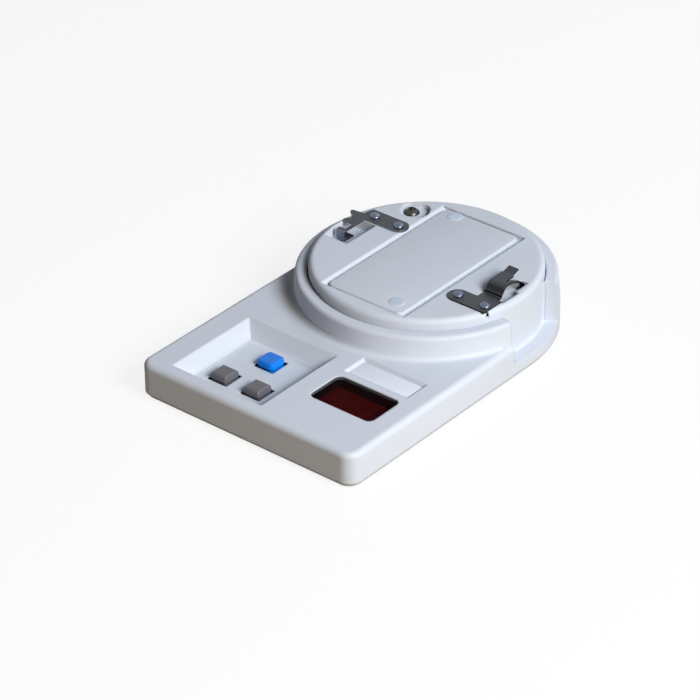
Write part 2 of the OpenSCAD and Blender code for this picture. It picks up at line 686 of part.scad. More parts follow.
// Strip of spring steel bent along a side profile of [y, z] points, cut to a width in X
function strip_normal(a, b) = let (d = b - a) [-d.y, d.x] / norm(d);
function strip_side(points, half) = [for (i = [0:len(points) - 1])
    let (n0 = strip_normal(points[max(i - 1, 0)], points[max(i, 1)]),
         n1 = strip_normal(points[min(i, len(points) - 2)], points[min(i + 1, len(points) - 1)]),
         n = (n0 + n1) / norm(n0 + n1))
    points[i] + half * n / (n * n1)];
module bent_strip(points, x0, x1) {
    low = strip_side(points, -spring_t / 2);
    high = strip_side(points, spring_t / 2);
    translate([x0, 0, 0]) rotate([90, 0, 90]) linear_extrude(x1 - x0)
        polygon(concat(low, [for (i = [len(high) - 1:-1:0]) high[i]]));
}

// Riveted tab, its round end about the inner rivet
module contact_tab(rivets, x_end) {
    inner = abs(rivets[0].x) < abs(rivets[1].x) ? rivets[0] : rivets[1];
    difference() {
        linear_extrude(spring_t) {
            translate([inner.x, inner.y]) circle(d = tab_w, $fn = mid_fn);
            translate([min(inner.x, x_end), inner.y - tab_w / 2]) square([abs(x_end - inner.x), tab_w]);
        }
        for (p = rivets) translate([p.x, p.y, -1]) cylinder(d = rivet_shank_d + 0.1, h = 3, $fn = small_fn);
    }
}

// Left spring: an arm in the tab's plane with a horn and a slot, its front end folded down into the pocket
module contact_left() color(steel_colour) {
    s = spring_t / 2;
    x0 = left_arm_x;
    x1 = x0 + left_arm_w;
    tab_y = LEFT_RIVETS[0].y - tab_w / 2;
    fold_y = tab_y - 13.1;
    fold_x = x0 - 1.9;
    fold_z = 0.45 - deep_pocket;
    translate([0, head_y, head_z]) difference() {
        union() {
            contact_tab(LEFT_RIVETS, x0);
            linear_extrude(spring_t) polygon([
                [x1, tab_y + 1], [x0 - 0.3, tab_y + 8.2], [x0 - 1.1, tab_y + 3.7], [x0 - 6.2, tab_y + 3.1],
                [x0 - 6.8, tab_y + 2.5], [x0 - 6.8, tab_y + 1.7], [x0 - 5.4, tab_y + 0.2], [x0 - 3.6, tab_y - 0.6],
                [x0 - 2.8, tab_y - 1.4], [x0 - 2.9, tab_y - 2.3], [x0 - 3.9, tab_y - 3.4], [x0 - 4.7, tab_y - 4.6],
                [x0 - 4.6, tab_y - 6.3], [x0 - 1.3, tab_y - 6.3], [x0 - 1, tab_y - 7.4], [x0 - 0.6, tab_y - 6.3],
                [x0 + 1.1, tab_y - 6.3], [x0 + 1.1, tab_y - 11.2], [fold_x, tab_y - 11.2], [fold_x, fold_y + 0.5],
                [x1, fold_y + 0.5]]);
            bent_strip([[fold_y + 1.7, s], [fold_y + 0.4, s], [fold_y, s - 0.4], [fold_y, fold_z + 0.5],
                        [fold_y + 0.5, fold_z], [fold_y + 6, fold_z]], fold_x, x1);
        }
        translate([fold_x + 0.7, fold_y - 1, fold_z + 1.2]) cube([x1 - fold_x - 1.4, 2, 0.5]);
    }
}

// Right spring: a bridge that rises from the tab, with a tip plate and a prong that dips into the pocket
module contact_right() color(steel_colour) {
    s = spring_t / 2;
    x_end = head_r - 3.5;
    y1 = RIGHT_RIVETS[0].y + tab_w / 2;
    x0 = right_arm_x;
    x1 = x0 + right_arm_w;
    translate([0, head_y, head_z]) {
        contact_tab(RIGHT_RIVETS, x_end);
        translate([x0, y1 - 1, 0]) cube([x_end - x0, 3.4, spring_t]);
        bent_strip([[y1, s], [y1 + 3.9, s], [y1 + 4.6, 0.75], [y1 + 4.8, 1.5], [y1 + 5.4, 1.8],
                    [y1 + 6.5, bridge_h - 1.2], [y1 + 7.4, bridge_h - 0.4], [y1 + 8.7, bridge_h],
                    [y1 + 10.4, bridge_h]], x0, x1);
        bent_strip([[y1 + 9.6, bridge_h], [y1 + 15.7, bridge_h]], x0, x1 - 2.3);
        bent_strip([[y1 + 14, bridge_h], [y1 + 15.7, bridge_h], [y1 + 16.5, bridge_h + 0.2], [y1 + 19.9, bridge_h + 1.2]],
                   x0 + 0.6, x0 + 5.4);
        bent_strip([[y1 + 9.6, bridge_h], [y1 + 11.5, bridge_h - 0.1], [y1 + 14.6, bridge_h - 1],
                    [y1 + 17.4, bridge_h - 2.6], [y1 + 19.2, bridge_h - 4], [y1 + 19.6, bridge_h - 4.8],
                    [y1 + 19.2, bridge_h - 5.5], [y1 + 17.6, bridge_h - 5.7]], x1 - 1.9, x1);
    }
}

module contact_rivets() color([0.75, 0.78, 0.84]) {
    for (p = concat(LEFT_RIVETS, RIGHT_RIVETS)) translate([p.x, head_y + p.y, head_z + spring_t]) {
        dome_head(rivet_d, 1.3);
        translate([0, 0, -spring_t - head_t - 2]) cylinder(d = rivet_shank_d, h = spring_t + head_t + 2 + eps, $fn = small_fn);
    }
}

// Pan-head screw with a cross recess, its head's underside at z = 0, shank downwards
module cross_screw(head_d, head_h, shank_d, shank_l) {
    difference() {
        dome_head(head_d, head_h);
        for (a = [0, 90]) rotate([0, 0, a]) translate([-head_d * 0.28, -head_d * 0.06, head_h * 0.45])
            cube([head_d * 0.56, head_d * 0.12, head_h]);
    }
    translate([0, 0, -shank_l]) cylinder(d = shank_d, h = shank_l + eps, $fn = small_fn);
}

module head_screw() color([0.3, 0.28, 0.25]) {
    translate([HEAD_SCREW_AT.x, head_y + HEAD_SCREW_AT.y, head_z - screw_pocket_depth]) rotate([0, 0, 20])
        cross_screw(head_screw_d, 2.2, head_screw_shank_d, 5);
}

// Key cap: bevelled crown over a straight skirt, with a socket for its plunger
module key_cap(at, crown_r) {
    skirt_h = recess_floor_z + 0.4 - key_low_z;
    translate([at.x, at.y, key_low_z]) difference() {
        union() {
            linear_extrude(skirt_h) round_rect(key_w, key_w, crown_r);
            hull() {
                translate([0, 0, skirt_h - eps]) linear_extrude(eps) round_rect(key_w, key_w, crown_r);
                translate([0, 0, key_top_z - key_low_z - 0.7]) linear_extrude(0.2) round_rect(key_top + 0.5, key_top + 0.5, crown_r);
                translate([0, 0, key_top_z - key_low_z - 0.2]) linear_extrude(0.2) round_rect(key_top, key_top, crown_r);
            }
        }
        translate([0, 0, -1]) linear_extrude(1 + socket_depth) square(plunger_w + 2 * socket_gap, center = true);
    }
}

module key_blue() color([0.1, 0.47, 0.88]) key_cap(KEY_BLUE, 1.6);
module key_grey_left() color([0.45, 0.44, 0.46]) key_cap(KEY_GREY_LEFT, 0.9);
module key_grey_right() color([0.45, 0.44, 0.46]) key_cap(KEY_GREY_RIGHT, 0.9);

// Switch plunger: a square stem that stands in the switch body and fills the key's socket
module plunger(at) {
    dip = key_travel + 0.3;
    translate([at.x, at.y, switch_top_z - dip]) linear_extrude(dip + key_low_z - switch_top_z + socket_depth)
        square(plunger_w, center = true);
}

module plunger_blue() color([0.2, 0.2, 0.22]) plunger(KEY_BLUE);
module plunger_grey_left() color([0.2, 0.2, 0.22]) plunger(KEY_GREY_LEFT);
module plunger_grey_right() color([0.2, 0.2, 0.22]) plunger(KEY_GREY_RIGHT);

module switch_bodies() color([0.12, 0.12, 0.13]) {
    for (k = KEYS) translate([k.x, k.y, board_top_z]) difference() {
        linear_extrude(switch_h) square(switch_w, center = true);
        translate([0, 0, switch_h - 2 * key_travel - 0.8]) linear_extrude(5) square(plunger_w + 0.6, center = true);
    }
}

module display_window() color([0.35, 0.02, 0.03]) {
    translate([window_x, window_y, shroud_top_z]) linear_extrude(window_t) round_rect(window_w, window_l, window_r);
}

module display_shroud() color([0.05, 0.05, 0.05]) {
    translate([window_x, window_y, board_top_z]) linear_extrude(shroud_top_z - board_top_z) difference() {
        round_rect(window_w, window_l, window_r);
        round_rect(window_w - 2 * shroud_t, window_l - 2 * shroud_t, window_r - shroud_t);
    }
}

module digit_modules() color([0.3, 0.03, 0.03]) {
    pitch = digit_w + 0.1;
    for (i = [0:digit_count - 1])
        translate([window_x + (i - (digit_count - 1) / 2) * pitch, window_y, board_top_z])
            linear_extrude(digit_h) square([digit_w, digit_l], center = true);
}

module label_plate() color([0.93, 0.93, 0.95]) {
    translate([label_x, label_y, deck_z - label_depth]) linear_extrude(label_t)
        round_rect(label_w - 2 * label_depth - 0.6, label_l - 2 * label_depth - 0.6, 0.6);
}

module circuit_board() color([0.1, 0.35, 0.18]) {
    translate([0, 0, board_z]) linear_extrude(board_t) difference() {
        translate([board_x0, board_y0]) square([board_x1 - board_x0, board_y1 - board_y0]);
        translate([0, head_y]) circle(head_r + 1, $fn = big_fn);
        for (p = BOARD_POSTS) translate(p) circle(d = board_screw_d + 0.2, $fn = small_fn);
    }
}

module controller_chip() color([0.08, 0.08, 0.09]) {
    translate([(BOARD_POSTS[1].x + BOARD_POSTS[2].x) / 2, label_y + 3, board_top_z]) {
        translate([0, 0, 1.5]) linear_extrude(3.2) square([20, 6.4], center = true);
        for (i = [-3.5:1:3.5], s = [-1, 1]) translate([i * 2.54 - 0.25, s * 3.8 - 0.6, 0]) cube([0.5, 1.2, 3]);
    }
}

module crystal() color([0.75, 0.76, 0.78]) {
    translate([BOARD_POSTS[1].x, recess_y, board_top_z]) linear_extrude(3.4) round_rect(4.4, 11, 2.1);
}

module capacitors() color([0.12, 0.14, 0.3]) {
    for (y = [10, 17.5]) translate([BOARD_POSTS[1].x, recess_y + y, board_top_z])
        cylinder(d = 6, h = 7, $fn = small_fn);
}

module lead_header() color([0.9, 0.88, 0.8]) {
    w = 14;
    l = 4;
    t = 0.8;
    translate([-20, board_y1 - 5, board_top_z]) difference() {
        cube([w, l, 5.5]);
        translate([t, t, 1.2]) cube([w - 2 * t, l - 2 * t, 5]);
    }
}

module board_screws() color([0.75, 0.76, 0.78]) {
    for (p = BOARD_POSTS) translate([p.x, p.y, board_z]) rotate([180, 0, 0]) {
        cylinder(d = 3.8, h = 0.7, $fn = small_fn);
        translate([0, 0, -board_t - 4]) cylinder(d = board_screw_d, h = board_t + 4 + eps, $fn = small_fn);
    }
}

module battery() color([0.2, 0.2, 0.22]) {
    mid_z = battery_z + battery_h / 2;
    translate([0, battery_y0, mid_z]) rotate([-90, 0, 0]) linear_extrude(battery_l)
        round_rect(battery_w, battery_h, 2);
    for (s = [-1, 1]) translate([s * terminal_off, battery_y0 + battery_l - eps, mid_z]) rotate([-90, 0, 0])
        cylinder(d = terminal_d, h = 2.4, $fn = small_fn);
}

module battery_clip() color([0.1, 0.1, 0.1]) {
    mid_z = battery_z + battery_h / 2;
    difference() {
        translate([0, battery_y0 + battery_l + 0.3, mid_z]) rotate([-90, 0, 0]) linear_extrude(4) round_rect(25, 13, 3);
        for (s = [-1, 1]) translate([s * terminal_off, battery_y0 + battery_l, mid_z]) rotate([-90, 0, 0])
            cylinder(d = terminal_d + 0.2, h = 2.6, $fn = small_fn);
    }
}

module case_screws() color([0.6, 0.6, 0.62]) {
    for (p = concat(CASE_SCREWS, HEAD_SCREWS)) translate([p.x, p.y, foot_drop + well_depth]) rotate([180, 0, 0])
        cross_screw(screw_head_d, screw_head_h, screw_d, well_t + 6);
}

module rubber_feet() color([0.1, 0.1, 0.1]) {
    for (p = FEET) translate([p.x, p.y, 0]) cylinder(d = foot_d, h = foot_drop + foot_seat, $fn = mid_fn);
}

top_case();
bottom_cover();
battery_door();
head_disc();
head_lid();
lid_plugs();
contact_left();
contact_right();
contact_rivets();
head_screw();
key_blue();
key_grey_left();
key_grey_right();
plunger_blue();
plunger_grey_left();
plunger_grey_right();
switch_bodies();
display_window();
display_shroud();
digit_modules();
label_plate();
circuit_board();
controller_chip();
crystal();
capacitors();
lead_header();
board_screws();
battery();
battery_clip();
case_screws();
rubber_feet();
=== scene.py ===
"""Dresses the hand-held detector tester: casing, detector head, keypad, display and underside."""
import logging
import math
from dataclasses import dataclass, replace
from enum import Enum
from typing import Any, Callable, Mapping, Sequence

import bmesh
import bpy
from mathutils import Matrix, Vector


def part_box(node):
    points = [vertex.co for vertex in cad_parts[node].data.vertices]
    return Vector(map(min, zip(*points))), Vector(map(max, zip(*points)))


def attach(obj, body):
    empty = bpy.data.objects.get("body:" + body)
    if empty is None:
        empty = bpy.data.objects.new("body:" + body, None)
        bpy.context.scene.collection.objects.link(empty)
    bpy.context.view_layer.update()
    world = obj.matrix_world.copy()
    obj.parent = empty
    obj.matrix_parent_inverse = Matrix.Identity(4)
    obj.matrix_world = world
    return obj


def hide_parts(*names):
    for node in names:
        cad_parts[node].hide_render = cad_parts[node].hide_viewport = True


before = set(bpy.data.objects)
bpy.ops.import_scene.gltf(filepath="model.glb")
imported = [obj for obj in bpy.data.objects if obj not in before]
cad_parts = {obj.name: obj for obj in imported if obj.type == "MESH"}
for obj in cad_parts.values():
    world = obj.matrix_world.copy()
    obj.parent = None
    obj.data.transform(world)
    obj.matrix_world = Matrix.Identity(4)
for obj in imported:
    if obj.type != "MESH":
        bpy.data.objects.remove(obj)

Colour = tuple[float, float, float]
Triple = tuple[float, float, float]
Plan = tuple[float, float]
SocketKey = str | int
Values = Mapping[SocketKey, Any]

LOG = logging.getLogger("tester")
MM = 0.001
# Axis of the turret and its disc
HEAD_AXIS: Plan = (0.0, 30.0 * MM)
# Signs of X and Y at the corners of a rectangle, anticlockwise
CORNERS = ((1, 1), (-1, 1), (-1, -1), (1, -1))
# Points nearer than this are one point, and shorter edges are slivers
WELD = 0.002 * MM
SLIVER = 0.004 * MM
# Faces within this many degrees are one flat face
FLAT = 0.4


class Body(str, Enum):
    """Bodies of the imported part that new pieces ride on."""

    HOUSING = "housing"
    KEY_BLUE = "key_blue_body"
    KEY_GREY_LEFT = "key_grey_left_body"
    KEY_GREY_RIGHT = "key_grey_right_body"


class Slot(str, Enum):
    """Material slots of the part's record."""

    SHELL = "shell"
    CLEAR_PLUG = "clear_plug"
    SPRING_STEEL = "spring_steel"
    RIVET_STEEL = "rivet_steel"
    DARK_SCREW = "dark_screw"
    BLUE_KEY = "blue_key"
    GREY_KEY = "grey_key"
    BLACK_PLASTIC = "black_plastic"
    RED_WINDOW = "red_window"
    DIGIT_FACE = "digit_face"
    LABEL = "label"
    FOOT_RUBBER = "foot_rubber"


def maths(operation: str, swapped: bool = False) -> Callable[..., "Wire"]:
    """Makes a method of Wire that adds a Math node, with the wire last where it is swapped."""
    def method(wire: "Wire", *others: "Wire | float") -> "Wire":
        """Adds the node and returns its result."""
        values = (*others, wire) if swapped else (wire, *others)
        return wire.graph.wire("ShaderNodeMath", dict(enumerate(values)), {"operation": operation})

    return method


class Wire:
    """A socket of a node tree that Python operators act on by adding Math nodes."""

    __add__ = maths("ADD")
    __radd__ = maths("ADD", swapped=True)
    __sub__ = maths("SUBTRACT")
    __rsub__ = maths("SUBTRACT", swapped=True)
    __mul__ = maths("MULTIPLY")
    __rmul__ = maths("MULTIPLY", swapped=True)
    __truediv__ = maths("DIVIDE")
    __rtruediv__ = maths("DIVIDE", swapped=True)
    __pow__ = maths("POWER")
    __rpow__ = maths("POWER", swapped=True)
    above = maths("GREATER_THAN")
    highest = maths("MAXIMUM")
    sine = maths("SINE")
    cosine = maths("COSINE")
    sign = maths("SIGN")

    def __init__(self, graph: "Graph", socket: bpy.types.NodeSocket) -> None:
        """Wraps one output socket of a graph."""
        self.graph = graph
        self.socket = socket

    def ramp(self, low: float, high: float) -> "Wire":
        """Maps the range from low to high onto that from 0 to 1, smoothly and clamped."""
        values = {"Value": self, "From Min": low, "From Max": high}
        return self.graph.wire("ShaderNodeMapRange", values, {"interpolation_type": "SMOOTHSTEP"})


class Graph:
    """Adds nodes to one shader or geometry tree and links them."""

    def __init__(self, tree: bpy.types.NodeTree) -> None:
        """Starts with a tree whose own nodes are removed."""
        self.tree = tree
        tree.nodes.clear()

    def node(self, kind: str, values: Values | None = None, settings: Values | None = None) -> bpy.types.Node:
        """Adds one node.

        Args:
            kind: The node's type.
            values: A value, a colour, a link or a list of links for each named or numbered socket.
            settings: Its properties, set first.

        Returns:
            The new node.
        """
        node = self.tree.nodes.new(kind)
        for key, value in (settings or {}).items():
            setattr(node, key, value)
        for key, value in (values or {}).items():
            socket = node.inputs[key]
            if isinstance(value, (Wire, list)):
                for wire in value if isinstance(value, list) else [value]:
                    self.tree.links.new(wire.socket, socket)
            else:
                socket.default_value = (*value, 1.0) if socket.type == "RGBA" else value
        return node

    def wire(self, kind: str, values: Values | None = None, settings: Values | None = None,
             output: SocketKey = 0) -> Wire:
        """Adds one node and returns one of its outputs."""
        return Wire(self, self.node(kind, values, settings).outputs[output])

    def parts(self, vector: Wire) -> tuple[Wire, ...]:
        """The X, Y and Z of a vector."""
        apart = self.node("ShaderNodeSeparateXYZ", {0: vector})
        return tuple(Wire(self, output) for output in apart.outputs)

    def vector(self, x: "Wire | float" = 0.0, y: "Wire | float" = 0.0, z: "Wire | float" = 0.0) -> Wire:
        """A vector of three values."""
        return self.wire("ShaderNodeCombineXYZ", {0: x, 1: y, 2: z})

    def seen(self) -> Wire:
        """1 where the camera sees a surface, straight, reflected or through a clear piece, otherwise 0."""
        camera, glossy, through = (self.wire("ShaderNodeLightPath", output=f"Is {kind} Ray")
                                   for kind in ("Camera", "Glossy", "Transmission"))
        return camera.highest(glossy).highest(through)

    def mix(self, factor: Wire, a: "Colour | Wire", b: "Colour | Wire") -> Wire:
        """Blends two colours: a where the factor is 0, b where it is 1."""
        return self.wire("ShaderNodeMix", {0: factor, 6: a, 7: b}, {"data_type": "RGBA"}, 2)

    def eased(self, radius: float) -> Wire:
        """Surface normal with sharp edges rounded to a radius in metres."""
        return self.wire("ShaderNodeBevel", {"Radius": radius}, {"samples": 6})

    def edge_mask(self, radius: float, low: float, high: float) -> Wire:
        """1 in a band along sharp edges, 0 on open faces.

        Args:
            radius: Half the width of the band, in metres.
            low: Bend of the normal that is still an open face.
            high: Bend of the normal that is wholly edge.

        Returns:
            The mask.
        """
        sides = {0: self.eased(radius), 1: self.wire("ShaderNodeNewGeometry", output="Normal")}
        alike = self.wire("ShaderNodeVectorMath", sides, {"operation": "DOT_PRODUCT"}, "Value")
        return (1.0 - alike).ramp(low, high)

    def place(self, stretch: Triple = (1.0, 1.0, 1.0), turn: float = 0.0) -> Wire:
        """Object coordinates in metres, scaled along each axis and then turned about Z in degrees."""
        spot = self.wire("ShaderNodeTexCoord", output="Object")
        return self.wire("ShaderNodeMapping",
                         {"Vector": spot, "Scale": stretch, "Rotation": (0.0, 0.0, math.radians(turn))})

    def noise(self, per_metre: float, detail: float = 2.0, rough: float = 0.5, **place: Any) -> Wire:
        """Noise between 0 and 1 with a count of octaves and a weight of the finer ones."""
        values = {"Vector": self.place(**place), "Scale": per_metre, "Detail": detail, "Roughness": rough}
        return self.wire("ShaderNodeTexNoise", values)

    def bump(self, height: Wire, depth: float, strength: float = 1.0, edge: float = 0.0) -> Wire:
        """Surface normal from a height of 0 to 1, a depth in metres and a radius for sharp edges."""
        eased = {"Normal": self.eased(edge)} if edge > 0.0 else {}
        return self.wire("ShaderNodeBump",
                         {"Height": height, "Distance": depth, "Strength": strength, **eased})


@dataclass(frozen=True)
class Finish:
    """Looks of one material, with the name of a material slot of the part's record."""

    name: str
    colour: Colour
    roughness: float = 0.45
    specular: float = 0.5
    slot: Slot | None = None

    def material(self) -> bpy.types.Material:
        """Builds the material unless it was built before.

        Returns:
            The material.
        """
        label = f"{self.name}_finish"
        known = bpy.data.materials.get(label)
        if known is not None:
            return known
        made = bpy.data.materials.new(label)
        made.use_nodes = True
        graph = Graph(made.node_tree)
        shader = graph.wire("ShaderNodeBsdfPrincipled", {
            "Base Color": self.colour,
            "Roughness": self.roughness,
            "Specular IOR Level": self.specular,
            **self.sockets(graph),
        })
        graph.node("ShaderNodeOutputMaterial", {"Surface": shader})
        made.diffuse_color = (*self.colour, 1.0)
        return made

    def sockets(self, graph: Graph) -> dict[str, Any]:
        """Works out what varies over the surface; each finish has its own way.

        Args:
            graph: The material's graph.

        Returns:
            Values and links of the shader's sockets.
        """
        return {}

    def shade(self, factor: float) -> Colour:
        """The finish's colour times a factor."""
        return tuple(c * factor for c in self.colour)


@dataclass(frozen=True)
class MouldedPlastic(Finish):
    """Injection-moulded plastic with a fine sparked grain, faint flow marks and light handling."""

    grain: float = 0.35
    grain_per_metre: float = 2400.0
    grain_depth: float = 0.012 * MM
    grain_gloss: float = 0.04
    handling: float = 0.05
    flow: float = 0.02
    edge: float = 0.0

    def sockets(self, graph: Graph) -> dict[str, Any]:
        """Grain in the normal, flow marks in the colour, handling in the roughness."""
        flow = graph.noise(34.0, detail=3.0, stretch=(1.0, 0.35, 1.0), turn=20.0).ramp(0.35, 0.65)
        rubbed = graph.noise(75.0, detail=4.0, rough=0.6).ramp(0.45, 0.7)
        fine = graph.noise(self.grain_per_metre, detail=1.0)
        return {
            "Base Color": graph.mix(flow, self.shade(1.0 - self.flow), self.shade(1.0 + self.flow)),
            "Roughness": rubbed * (-self.handling) + fine * self.grain_gloss + self.roughness,
            "Normal": graph.bump(fine, self.grain_depth, self.grain, self.edge),
        }


@dataclass(frozen=True)
class GlossyPlastic(Finish):
    """Polished plastic of a pressed part: smooth, with fine rub marks and slightly worn colour."""

    wear: Colour = (0.6, 0.6, 0.6)
    worn: float = 0.08
    rubbed: float = 0.16
    clouded: float = 0.05
    orange_peel: float = 0.004 * MM

    def sockets(self, graph: Graph) -> dict[str, Any]:
        """Rub marks in the roughness and a trace of wear in the colour."""
        rub = graph.noise(700.0, detail=4.0, rough=0.65, stretch=(1.0, 5.0, 1.0), turn=35.0).ramp(0.5, 0.75)
        cloud = graph.noise(210.0, detail=3.0).ramp(0.4, 0.75)
        ripple = graph.noise(1500.0, detail=1.0)
        return {
            "Base Color": graph.mix(cloud * self.worn, self.colour, self.wear),
            "Roughness": rub * self.rubbed + cloud * self.clouded + self.roughness,
            "Normal": graph.bump(ripple, self.orange_peel, strength=0.25),
        }


@dataclass(frozen=True)
class BrushedSteel(Finish):
    """Sheet steel with rolling lines along X, faint stains, a painted highlight along cut edges and painted
    shade or light on faces that aren't level.

    Attributes:
        edge: Half the width of the painted highlight along cut edges, in metres; 0 leaves it out.
        painted_slope_light: Factor of painted shade (below 1) or painted light (above 1) on faces that aren't
            level; 1 leaves them as they are.
    """

    lines: float = 0.35
    stain: Colour = (0.02, 0.02, 0.022)
    stained: float = 0.4
    painted_edge_highlight: Colour = (0.6, 0.62, 0.65)
    edge: float = 0.0
    painted_slope_light: float = 1.0
    line_depth: float = 0.006 * MM
    line_gloss: float = 0.18
    stain_gloss: float = 0.12

    def sockets(self, graph: Graph) -> dict[str, Any]:
        """Rolling lines in the normal and the roughness; stains, a painted edge highlight and painted shade
        or light on sloping faces in the colour.
        """
        line = graph.noise(320.0, detail=3.0, rough=0.6, stretch=(1.0, 26.0, 26.0))
        blot = graph.noise(420.0, detail=4.0, rough=0.6).ramp(0.45, 0.72)
        colour = graph.mix(blot * self.stained, self.colour, self.stain)
        # Faces that aren't level are painted darker or lighter by this factor: painted shade or painted light
        # by tilt
        if self.painted_slope_light != 1.0:
            level = graph.parts(graph.wire("ShaderNodeNewGeometry", output="Normal"))[2].ramp(0.45, 1.0)
            colour = graph.mix(level, self.shade(self.painted_slope_light), colour)
        # Painted highlight: a light colour blended in along sharp cut edges by the edge mask
        if self.edge > 0.0:
            colour = graph.mix(graph.edge_mask(self.edge, low=0.04, high=0.2), colour, self.painted_edge_highlight)
        return {
            "Base Color": colour,
            "Metallic": 1.0,
            "Roughness": line * self.line_gloss + blot * self.stain_gloss + self.roughness,
            "Normal": graph.bump(line, self.line_depth, self.lines),
        }


@dataclass(frozen=True)
class TintedAcrylic(Finish):
    """Dyed see-through acrylic of a window or a plug."""

    alpha: float = 0.5
    uneven: float = 0.15
    cloudy: float = 0.06
    wiped: float = 0.07

    def sockets(self, graph: Graph) -> dict[str, Any]:
        """Wipe marks in the roughness and a slightly uneven dye."""
        wipe = graph.noise(260.0, detail=3.0, rough=0.6, stretch=(1.0, 3.0, 1.0), turn=50.0).ramp(0.5, 0.8)
        dye = graph.noise(90.0)
        return {
            "Base Color": graph.mix(dye, self.shade(1.0 - self.uneven), self.shade(1.0 + self.uneven)),
            "Alpha": dye * self.cloudy + (self.alpha - self.cloudy / 2),
            "Roughness": wipe * self.wiped + self.roughness,
        }


@dataclass(frozen=True)
class SolderMask(Finish):
    """Circuit board lacquer over copper tracks."""

    track: Colour = (0.03, 0.17, 0.08)
    track_height: float = 0.03 * MM
    track_gloss: float = 0.08

    def sockets(self, graph: Graph) -> dict[str, Any]:
        """Tracks as a net of straight lines, raised a little."""
        spot = graph.place(stretch=(1.0, 1.0, 0.0), turn=45.0)
        net = graph.wire("ShaderNodeTexVoronoi", {"Vector": spot, "Scale": 240.0, "Randomness": 0.35},
                         {"feature": "DISTANCE_TO_EDGE"}, "Distance")
        line = 1.0 - net.ramp(0.05, 0.09)
        return {
            "Base Color": graph.mix(line, self.colour, self.track),
            "Roughness": line * self.track_gloss + self.roughness,
            "Normal": graph.bump(line, self.track_height, strength=0.6),
        }


@dataclass(frozen=True)
class PrintedCard(Finish):
    """Coated card or foil of a label or a wrap, with a faint fibre."""

    fibre: float = 0.03
    fibre_height: float = 0.006 * MM
    fibre_gloss: float = 0.1

    def sockets(self, graph: Graph) -> dict[str, Any]:
        """Fibre in the colour and the normal."""
        fibre = graph.noise(1300.0, detail=4.0, rough=0.65, stretch=(1.0, 2.5, 1.0), turn=15.0)
        return {
            "Base Color": graph.mix(graph.noise(60.0), self.shade(1.0 - self.fibre), self.colour),
            "Roughness": fibre * self.fibre_gloss + self.roughness,
            "Normal": graph.bump(fibre, self.fibre_height, strength=0.3),
        }


@dataclass(frozen=True)
class Rubber(Finish):
    """Soft moulded rubber, dusty and matt."""

    dust: Colour = (0.09, 0.088, 0.085)
    dusty: float = 0.6
    dust_gloss: float = 0.1
    pit_depth: float = 0.03 * MM

    def sockets(self, graph: Graph) -> dict[str, Any]:
        """Dust in the colour, a pitted skin in the normal."""
        dust = graph.noise(380.0, detail=4.0, rough=0.65).ramp(0.45, 0.8)
        return {
            "Base Color": graph.mix(dust * self.dusty, self.colour, self.dust),
            "Roughness": dust * self.dust_gloss + self.roughness,
            "Normal": graph.bump(graph.noise(1800.0), self.pit_depth, strength=0.5),
        }


SHELL = MouldedPlastic("shell_plastic", (0.625, 0.662, 0.748), 0.5, 0.3, Slot.SHELL, edge=1.1 * MM)
COVE = replace(SHELL, name="cove_plastic", edge=0.0)
COVER = MouldedPlastic("cover_plastic", (0.56, 0.575, 0.61), 0.55, 0.3, grain=0.5, grain_per_metre=1500.0,
                       edge=0.35 * MM)
LID = MouldedPlastic("lid_plastic", (0.615, 0.65, 0.73), 0.52, 0.3, Slot.SHELL,
                     grain=0.45, grain_per_metre=1900.0)
PLUG = TintedAcrylic("plug_plastic", (0.57, 0.645, 0.77), 0.5, 0.2, Slot.CLEAR_PLUG, alpha=0.97)
# Spring steel: painted shade on faces that aren't level and a painted highlight along cut edges
SPRING = BrushedSteel("spring_steel", (0.058, 0.063, 0.073), 0.24, slot=Slot.SPRING_STEEL,
                      stained=0.2, edge=0.12 * MM, painted_slope_light=0.12)
# Left contact: painted light instead of painted shade on faces that aren't level
SPRING_PAINTED_LIGHT = replace(SPRING, name="spring_steel_painted_light", painted_slope_light=3.2)
RIVET = BrushedSteel("rivet_steel", (0.12, 0.145, 0.2), 0.15, slot=Slot.RIVET_STEEL, lines=0.1, stained=0.25)
# The dark screw's edge sets a painted highlight along its edges
DARK_SCREW = BrushedSteel("dark_screw", (0.07, 0.065, 0.06), 0.2, slot=Slot.DARK_SCREW,
                          lines=0.1, edge=0.1 * MM)
SCREW = BrushedSteel("screw_steel", (0.46, 0.46, 0.47), 0.28, lines=0.15, stained=0.3)
CAN = BrushedSteel("can_metal", (0.56, 0.57, 0.59), 0.3, lines=0.2, stained=0.2)
BLUE_KEY = GlossyPlastic("blue_key", (0.0, 0.19, 0.78), 0.1, 0.2, Slot.BLUE_KEY, wear=(0.005, 0.25, 0.8))
GREY_KEY = GlossyPlastic("grey_key", (0.108, 0.104, 0.122), 0.12, 0.4, Slot.GREY_KEY, wear=(0.22, 0.21, 0.21))
BLACK = MouldedPlastic("black_plastic", (0.008, 0.008, 0.009), 0.6, 0.1, Slot.BLACK_PLASTIC, flow=0.1)
WINDOW = TintedAcrylic("red_window", (0.006, 0.0002, 0.0003), 0.1, 0.01, Slot.RED_WINDOW, alpha=0.4)
DIGIT_BODY = MouldedPlastic("digit_body", (0.21, 0.005, 0.007), 0.5, 0.1, flow=0.06)
SEGMENT = GlossyPlastic("digit_segment", (0.27, 0.012, 0.014), 0.4, 0.1, Slot.DIGIT_FACE,
                        wear=(0.3, 0.02, 0.02))
LABEL = PrintedCard("label_card", (0.79, 0.825, 0.93), 0.42, 0.3, Slot.LABEL)
BOARD = SolderMask("solder_mask", (0.015, 0.11, 0.05), 0.35)
CHIP = MouldedPlastic("chip_plastic", (0.02, 0.02, 0.022), 0.55, 0.4, grain=0.8, flow=0.12)
CAPACITOR = PrintedCard("capacitor_sleeve", (0.02, 0.03, 0.1), 0.32, fibre=0.15)
HEADER = MouldedPlastic("header_plastic", (0.75, 0.72, 0.62), 0.45, 0.45)
